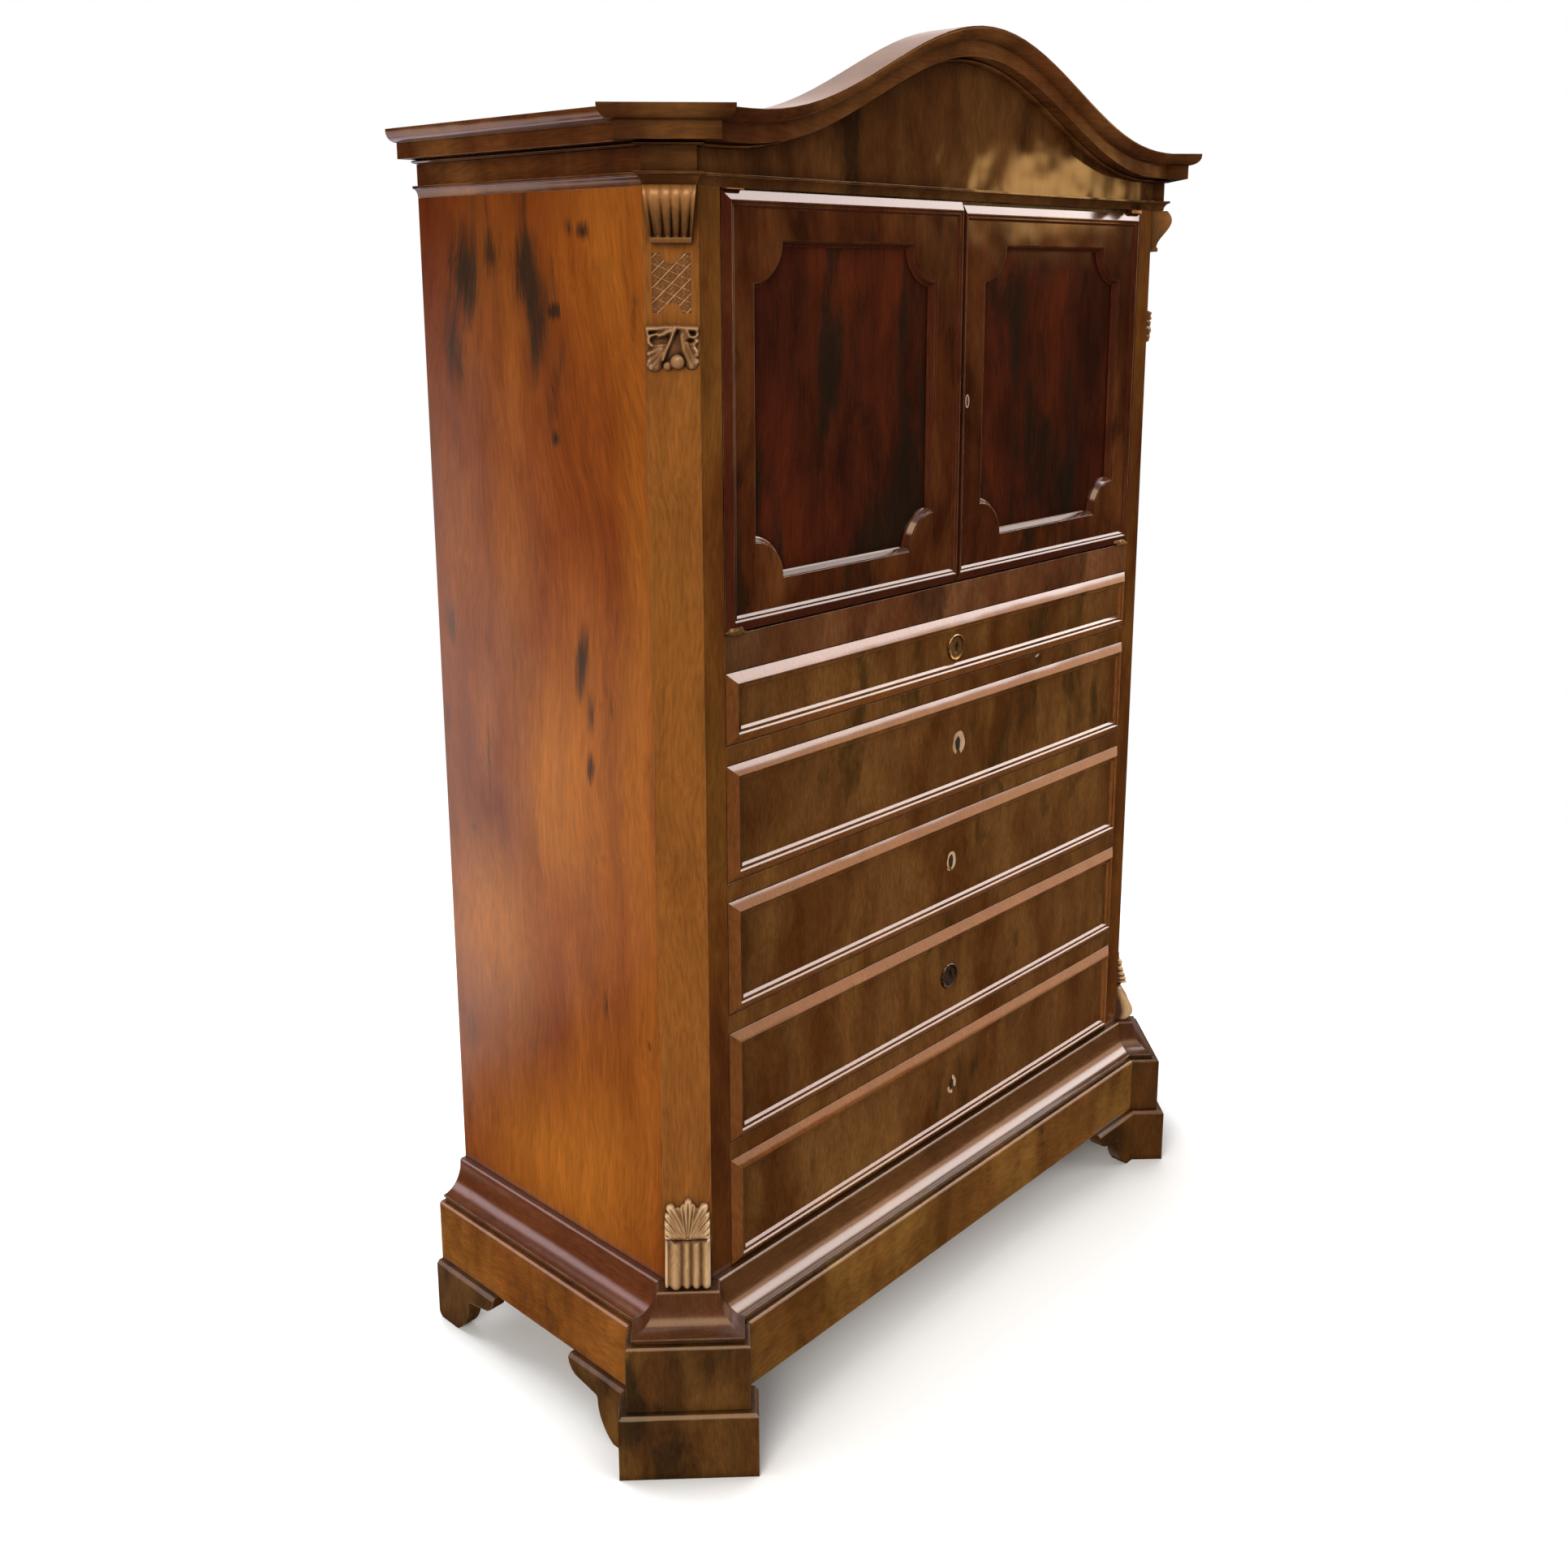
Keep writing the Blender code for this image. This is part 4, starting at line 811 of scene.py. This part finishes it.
# %% Shell over a reeded scroll
SHELL_SIDE = (
    (((1.5, 3), (9.6, 20), (20.4, 37.8)), 3.4, 5.4),
    (((2.5, 2), (13, 15.5), (23.6, 28.2)), 2.6, 4),
    (((3.5, 1.5), (15, 9.5), (24.8, 19)), 2.4, 3.4),
    (((5, 1), (16, 5), (25, 10.8)), 2.2, 3),
    (((7, 1), (18, 2.4), (25.6, 4.4)), 2, 2.4),
)
SHELL_BODY = (
    (((0, 0), (0, 18)), 10, 17, 2.4, 0),
    (((-2, 2), (-12.5, 28)), 6, 10, 2.4, 0),
    (((2, 2), (12.5, 27)), 6, 10, 2.4, 0),
)
SHELL_MIDDLE = (
    (((0, 2), (0.6, 20), (1, 34.5)), 5, 10.4, 6, 0),
    (((0.9, 34), (1.2, 45)), 7, 4.4, 5.8, 0),
    (((-0.8, 4), (-3.6, 26), (-5.4, 40)), 0.8, 1.1, -2.2, 0),
    (((0.4, 4), (0.8, 26), (1.2, 46)), 0.8, 1, -2.2, 0),
    (((1.6, 4), (5, 26), (7.2, 40)), 0.8, 1.1, -2.2, 0),
)
SCROLL_HEIGHT, SHELL_HEIGHT = 62.5, 50
REEDS = ((-28.2, -23), (-22.4, -7), (-6.2, 4.2), (5, 16.4), (17.2, 28.2))
REED_DEPTH, REED_SINK, LIP, SEAM = 7, 6, 7, 0.6


def foot_carving():
    """Shell: a broad middle lobe and five pairs that fan out from the lip, on a ground that thickens towards
    it and rolls under it by a quarter round. Scroll: reeds, each a cosine over its own width, on a curve that
    leaves a quirk under the lip and bulges low."""
    x = np.linspace(-CARVED_HALF, CARVED_HALF, 230)[None, :]
    z = np.linspace(-SCROLL_HEIGHT, SHELL_HEIGHT, 330)[:, None]
    cuts = [([(sign * a, b) for a, b in spine], root, tip, 6.4, 2.4)
            for spine, root, tip in SHELL_SIDE[::-1] for sign in (-1, 1)]
    ribs = lobes(x, z, [*SHELL_BODY, *cuts, *SHELL_MIDDLE])
    ground = 3 + 9 * ease((36 - z) / 36)
    ground = ground - LIP * (1 - np.sqrt(1 - np.clip(1 - z / LIP, 0, 1) ** 2))
    shell = np.where(ribs > -0.5, ground + local_mean(np.maximum(ribs, 0), 2), GROUND)
    drop = (z + SCROLL_HEIGHT) / SCROLL_HEIGHT
    curve = np.where(drop < 0.2, 30 * (0.72 + 0.28 * np.sin(np.pi / 2 * np.clip(drop / 0.2, 0, 1))),
                     9 + 21 * (1 - ease((drop - 0.2) / 0.8)))
    curve = curve - 5 * bell((z + 4.5) / 2.4)
    reeds = np.full(x.shape, -REED_SINK)
    for start, end in REEDS:
        across = (2 * x - start - end) / (end - start)
        depth = min(REED_DEPTH, 0.5 * (end - start))
        reeds = np.where(np.abs(across) < 1, depth * np.cos(0.5 * np.pi * across) - REED_SINK, reeds)
    scroll = np.where(np.abs(x) < 28, curve + reeds, GROUND)
    out = np.where(z < SEAM, scroll, shell)
    # The last argument paints a line of shade along the lip, where the shell overhangs the scroll.
    relief("shell_scroll", "shell", CASE_Z + SCROLL_HEIGHT * MM, x, z, out, -2, np.where(z < SEAM, 9, 5.5),
           "foot_scroll", 1.1 * bell(z / 5))


foot_carving()

# %% [markdown]
# ## Key plates
#
# Only the shallow drawer and the fourth keep their key plate, a turned disc. The others show the inlay round
# the hole: a horseshoe, a thin broken ring and two splinters. A disc with a hole is a section carried round a
# circle, so its skin closes on itself in both directions.

# %% Discs with a keyhole
def oval(turns, width, height):
    """Places (across, up) on an oval by angle, from its half width and half height."""
    return np.stack([width * np.cos(turns), height * np.sin(turns)], -1)


def keyhole_edge(turns, width, height):
    """Edge of a keyhole by angle: an upright oval that is narrower below than above."""
    return oval(turns, width * (1 - 0.28 * ease(-np.sin(turns))), height)


def key_disc(number, material):
    """A dished disc with a rolled rim. Rows go round its section, from the hole's back over the face and the
    rim to the back, columns go round the circle."""
    node = f"drawer_{number}_escutcheon"
    low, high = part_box(node)
    centre = (low + high) / 2
    radius, thick = (high.x - low.x) / 2, high.y - low.y
    turns = np.linspace(0, 2 * np.pi, 97)[:-1]
    hole = keyhole_edge(turns, 3.4 * MM, 7.5 * MM)
    rim = oval(turns, radius, radius)
    share = np.array([0, 0, 0.06, 0.45, 0.72, 0.78, 0.85, 0.93, 0.98, 1, 1])
    depth = thick * np.array([0, 0.5, 0.62, 0.5, 0.52, 0.72, 0.94, 1, 0.8, 0.45, 0])
    flat = hole[None] + share[:, None, None] * (rim - hole)[None]
    rings = points(centre.x + flat[..., 0], high.y - depth[:, None], centre.z + flat[..., 1])
    return skin(f"drawer_{number}_key_disc", rings, material, body_of_node[node], [node], looped=True)


for number, metal in ((1, brass), (4, bronze)):
    disc = key_disc(number, metal)
    print(disc.name, len(disc.data.polygons), "faces")

# %% Keyholes and worn inlay
PATCH = 0.25 * MM


def flat_patch(name, outline, y, material, body):
    """A thin plate with a given outline: three rings, the last smaller, so that its rim is bevelled."""
    shrink = np.array([1, 1, 0.9])[:, None, None]
    middle = outline.mean(0)
    flat = middle + shrink * (outline[None] - middle)
    depth = PATCH * np.array([0, 0.6, 1])[:, None]
    skin(name, points(flat[..., 0], y - depth, flat[..., 1]), material, body)


def inlay_band(name, centre, size, start, end, width, lean, y, body):
    """A strip along part of an oval. Its width swells and thins along the way, as a worn inlay does, and lean
    makes it wider on the right than on the left."""
    turns = np.radians(np.linspace(start, end, 60))
    swell = width * (1 + lean * np.cos(turns) + 0.15 * np.sin(5 * turns + start))
    path = oval(turns, *size)
    out = path / np.linalg.norm(path, axis=1, keepdims=True)
    inner, outer = path - 0.5 * swell[:, None] * out, path + 0.5 * swell[:, None] * out
    flat = np.stack([inner, outer, outer, inner], 1) + centre
    depth = MM * np.array([0.5, 0.5, -0.3, -0.3])
    skin(name, points(flat[..., 0], y - depth, flat[..., 1]), inlay, body)


field_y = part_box("drawer_4_escutcheon")[1].y + 0.3 * MM
turns = np.linspace(0, 2 * np.pi, 49)[:-1]
HOLES = {2: (0.0104, 0.8105), 3: (-0.0002, 0.641), 5: (0.0117, 0.2945)}
for number in range(1, 6):
    if number in HOLES:
        middle = np.array(HOLES[number])
        hole = keyhole_edge(turns, 4.6 * MM, 10 * MM)
    else:
        low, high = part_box(f"drawer_{number}_escutcheon")
        middle = np.array([(low.x + high.x) / 2, (low.z + high.z) / 2])
        hole = keyhole_edge(turns, 4 * MM, 8.2 * MM)
    # A dark sheet on the field in each keyhole: painted shade for the hole.
    flat_patch(f"drawer_{number}_keyhole", middle + hole, field_y, keyhole_shade, f"drawer_{number}")
# Each strip is (drawer, name, half width, half height, start, end, strip width, lean), in mm and degrees.
STRIPS = (
    (2, "horseshoe", 9.6, 13.6, -60, 244, 7.4, 0.36),
    (3, "ring", 7.6, 11.8, -78, 252, 4.2, 0.4),
    (3, "splinter", 9.4, 12.8, 222, 258, 4, 0),
    (5, "splinter_right", 7.6, 11, -30, 76, 5, 0),
    (5, "splinter_foot", 7.4, 11.5, 190, 285, 4.8, 0),
)
for number, kind, half_width, half_height, start, end, width, lean in STRIPS:
    inlay_band(f"drawer_{number}_inlay_{kind}", np.array(HOLES[number]), (half_width * MM, half_height * MM),
               start, end, width * MM, lean, field_y, f"drawer_{number}")
door_y = FRONT_Y - 0.8 * MM
door_key = np.array([0.0172, 1.2803])
# The door's keyhole is a dark sheet too: painted shade for the hole.
flat_patch("right_door_keyhole", door_key + keyhole_edge(turns, 2.6 * MM, 6.6 * MM), door_y,
           keyhole_shade, "right_door")
rail_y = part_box("dust_board_1")[0].y + 0.1 * MM
chip = np.array([0.2021, 0.9003]) + np.stack([5 * MM * np.cos(turns), 2.2 * MM * np.sin(turns + 0.5)], -1)
flat_patch("rail_chip", chip, rail_y, inlay, "case")
inlay_band("right_door_inlay", door_key, (3.4 * MM, 8 * MM), 0, 359, 1.5 * MM, 0, door_y, "right_door")

# %% [markdown]
# ## Floor, light and room
#
# The photograph is cut out on white, so the floor is a pale disc that fades into a white world. To the camera
# it glows white in the open and less and less where Ambient Occlusion finds the piece near, so the soft
# shadow under the piece is partly cast by the lamps and partly painted shadow. Lamps and world light the wood.
# White all round would veil the dark panels with reflections, so a large ball that only glossy rays see shows
# a dim room: a slanting window on the right, a pale ceiling, warm light on the left and patches of pale
# ground behind.

# %% Floor
FLOOR_RADIUS = 3
FLOOR_GLOW = 0.55
material, add, shader, coords = new_material("painted studio floor")
reach = add("VectorMath", {0: coords}, "LENGTH")
fade = add("MapRange", {0: reach, 1: 1.1, 2: 2.8}, **SMOOTH)
sight = add("LightPath", {}).outputs["Is Camera Ray"]
# Ambient Occlusion takes the glow away near the piece: painted shadow.
free = add("AmbientOcclusion", {"Distance": 0.4}, samples=16).outputs["AO"]
free = add("MapRange", {0: free, 1: 0.45, 2: 0.95, 4: FLOOR_GLOW}, **SMOOTH)
lift = add("Math", {0: sight, 1: free}, "MULTIPLY")
fill(shader, {"Base Color": to_linear("EEF1F4"), "Roughness": 0.9, "Specular IOR Level": 0.1,
              "Emission Color": to_linear("FFFFFF"), "Emission Strength": lift})
blend = add("MixShader", {0: fade, 1: shader, 2: add("BsdfTransparent", {})})
fill(material.node_tree.nodes["Material Output"], {"Surface": blend})
spokes = np.linspace(0, 2 * np.pi, 73)[:-1]
rim = points(FLOOR_RADIUS * np.cos(spokes), FLOOR_RADIUS * np.sin(spokes), 0)
mesh = bpy.data.meshes.new("floor")
mesh.from_pydata(rim.tolist(), [], [list(range(len(spokes)))])
mesh.materials.append(material)
floor = linked("floor", mesh)
floor.visible_glossy = False
print("floor radius", FLOOR_RADIUS, "m")

# %% Room that the polish mirrors
ROOM_RADIUS = 90
material, add, shader, coords = new_material("mirrored room")
way = add("VectorMath", {0: coords}, "NORMALIZE")
way = add("SeparateXYZ", {0: way})
azimuth = add("Math", {0: way.outputs["Y"], 1: way.outputs["X"]}, "ARCTAN2")
azimuth = add("Math", {0: azimuth}, "DEGREES")
height = add("Math", {0: way.outputs["Z"]}, "ARCSINE")
height = add("Math", {0: height}, "DEGREES")
# A pane is (left, right, bottom, slant, top, soft sides, soft bottom, soft top, colour, strength), all angles
# in degrees. Its bottom edge may slant: it is compared with the height less slant times the azimuth.
PANES = (
    (-75, 8, 14.6, -0.435, 78, 30, 3.2, 12, "FFF0EA", 12),
    (-75, 5, -13, -0.65, 40, 10, 5, 10, "FFCBA4", 4.2),
    (-180, 180, 42, 0, 95, 8, 14, 4, "FFF4EC", 1.6),
    (-60, 5, 16.5, -0.65, 60, 10, 4, 10, "FFF2EC", 12.5),
    (100, 146, 14, 0, 46, 12, 12, 12, "F2DCE2", 5),
    (60, 104, -65, 0, -12, 8, 10, 10, "EAD8E6", 2.6),
    (48.5, 80, -14, 0, 3, 2, 3, 2, "E4D8E4", 0.5),
    (-165, -108, 32, 0, 75, 10, 12, 10, "FFDDB4", 9),
    (15, 85, 8, 0, 42, 10, 6, 10, "F4DED6", 1.4),
    (100, 127.3, -87.3, 0.47, 4, 4, 3, 12, "FFDFD2", 2.6),
    (100, 129, -87.3, 0.47, -4, 4.5, 3, 10, "FFDFD2", 2.6),
    (100, 134, -87.3, 0.47, -6, 5, 3, 10, "FFD8C6", 0.9),
    (-37.5, -30.8, 1.8, 0, 5.4, 2.5, 1.8, 1.8, "FFC478", 7),
)
glow = add("RGB", {}).outputs[0]
glow.default_value = (0.02, 0.018, 0.016, 1)
for left, right, bottom, slant, top, soft_side, soft_bottom, soft_top, colour, strength in PANES:
    tilted = add("Math", {0: azimuth, 1: -slant, 2: height}, "MULTIPLY_ADD")
    pane = strength
    for angle, start, end in ((azimuth, left, left + soft_side), (azimuth, right, right - soft_side),
                              (tilted, bottom, bottom + soft_bottom), (height, top, top - soft_top)):
        step = add("MapRange", {0: angle, 1: start, 2: end}, **SMOOTH)
        pane = add("Math", {0: step, 1: pane}, "MULTIPLY")
    tint = add("VectorMath", {0: to_linear(colour)[:3], "Scale": pane}, "SCALE")
    glow = add("VectorMath", {0: glow, 1: tint}, "MAXIMUM")
fill(material.node_tree.nodes["Material Output"], {"Surface": add("Emission", {"Color": glow})})
turn = np.linspace(0, 2 * np.pi, 97)[:-1][None, :]
rise = np.linspace(-0.5 * np.pi + 0.01, 0.5 * np.pi - 0.01, 49)[:, None]
ball = ROOM_RADIUS * points(np.cos(turn) * np.cos(rise), np.sin(turn) * np.cos(rise), np.sin(rise))
mesh = bpy.data.meshes.new("mirrored_room")
mesh.from_pydata(ball.reshape(-1, 3).tolist(), [], ring_faces(ball))
mesh.materials.append(material)
room = linked("mirrored_room", mesh)
for ray in ("camera", "diffuse", "transmission", "volume_scatter", "shadow"):
    setattr(room, "visible_" + ray, False)
print("room panes", len(PANES))

# %% World
WORLD_LIGHT = 0.34
world = bpy.data.worlds.new("studio")
scene.world = world
world.use_nodes = True
add = partial(add_node, world.node_tree)
path = add("LightPath", {})
seen = add("Math", {0: path.outputs["Is Camera Ray"], 1: path.outputs["Is Glossy Ray"]}, "MAXIMUM")
seen = add("Math", {0: seen, 1: path.outputs["Is Transmission Ray"]}, "MAXIMUM")
level = add("MapRange", {0: seen, 3: WORLD_LIGHT})
fill(world.node_tree.nodes["Background"], {"Strength": level, "Color": to_linear("FFFFFF")})
scene.view_settings.view_transform = "Standard"
print("world is white to the eye and", WORLD_LIGHT, "of that as a lamp")

# %% Lamps
def soft_lamp(name, place, target, size, power, colour):
    """A square lamp that points at a target and leaves no mirror image of itself."""
    data = bpy.data.lights.new(name, "AREA")
    data.size = size
    data.energy = power
    data.color = to_linear(colour)[:3]
    lamp = linked(name, data)
    away = np.array(place) - np.array(target)
    lamp.location = place
    lean = math.atan2(math.hypot(away[0], away[1]), away[2])
    lamp.rotation_euler = (lean, 0, math.atan2(away[0], -away[1]))
    lamp.visible_glossy = False


soft_lamp("left_lamp", (-5.2, -2.5, 2.6), (0, 0, 0.9), 3, 330, "FFF6EA")
soft_lamp("right_lamp", (3, -3.8, 1.8), (0, 0, 0.6), 2.6, 80, "FFFAF4")
soft_lamp("back_lamp", (-0.6, 2.8, 4.4), (0, 0, 0.6), 3.2, 150, "FFFFFF")

# %% [markdown]
# ## Camera
#
# The picture was taken from the front left at eye height, its uprights kept straight by shifting the lens. So
# large a shift would push the piece out of the other views, so the camera looks down by twelve degrees
# instead and keeps a small one. Frame, focal length and axis are in pixels.

# %% Camera
FRAME, FOCAL, AXIS = 1932, 1940, 989
LOOK_DOWN, LOOK_RIGHT, SHIFT_DOWN = 12.12, 47.45, 0.11
data = bpy.data.cameras.new("camera")
camera = linked("camera", data)
scene.camera = camera
data.sensor_width = 36
data.lens = data.sensor_width * FOCAL / FRAME
data.shift_x = (FRAME / 2 - AXIS) / FRAME
data.shift_y = -SHIFT_DOWN
data.clip_end = 60
camera.location = (-1.676, -1.442, 1.446)
camera.rotation_euler = (math.radians(90 - LOOK_DOWN), 0, math.radians(-LOOK_RIGHT))
print("lens", round(data.lens, 2), "mm")
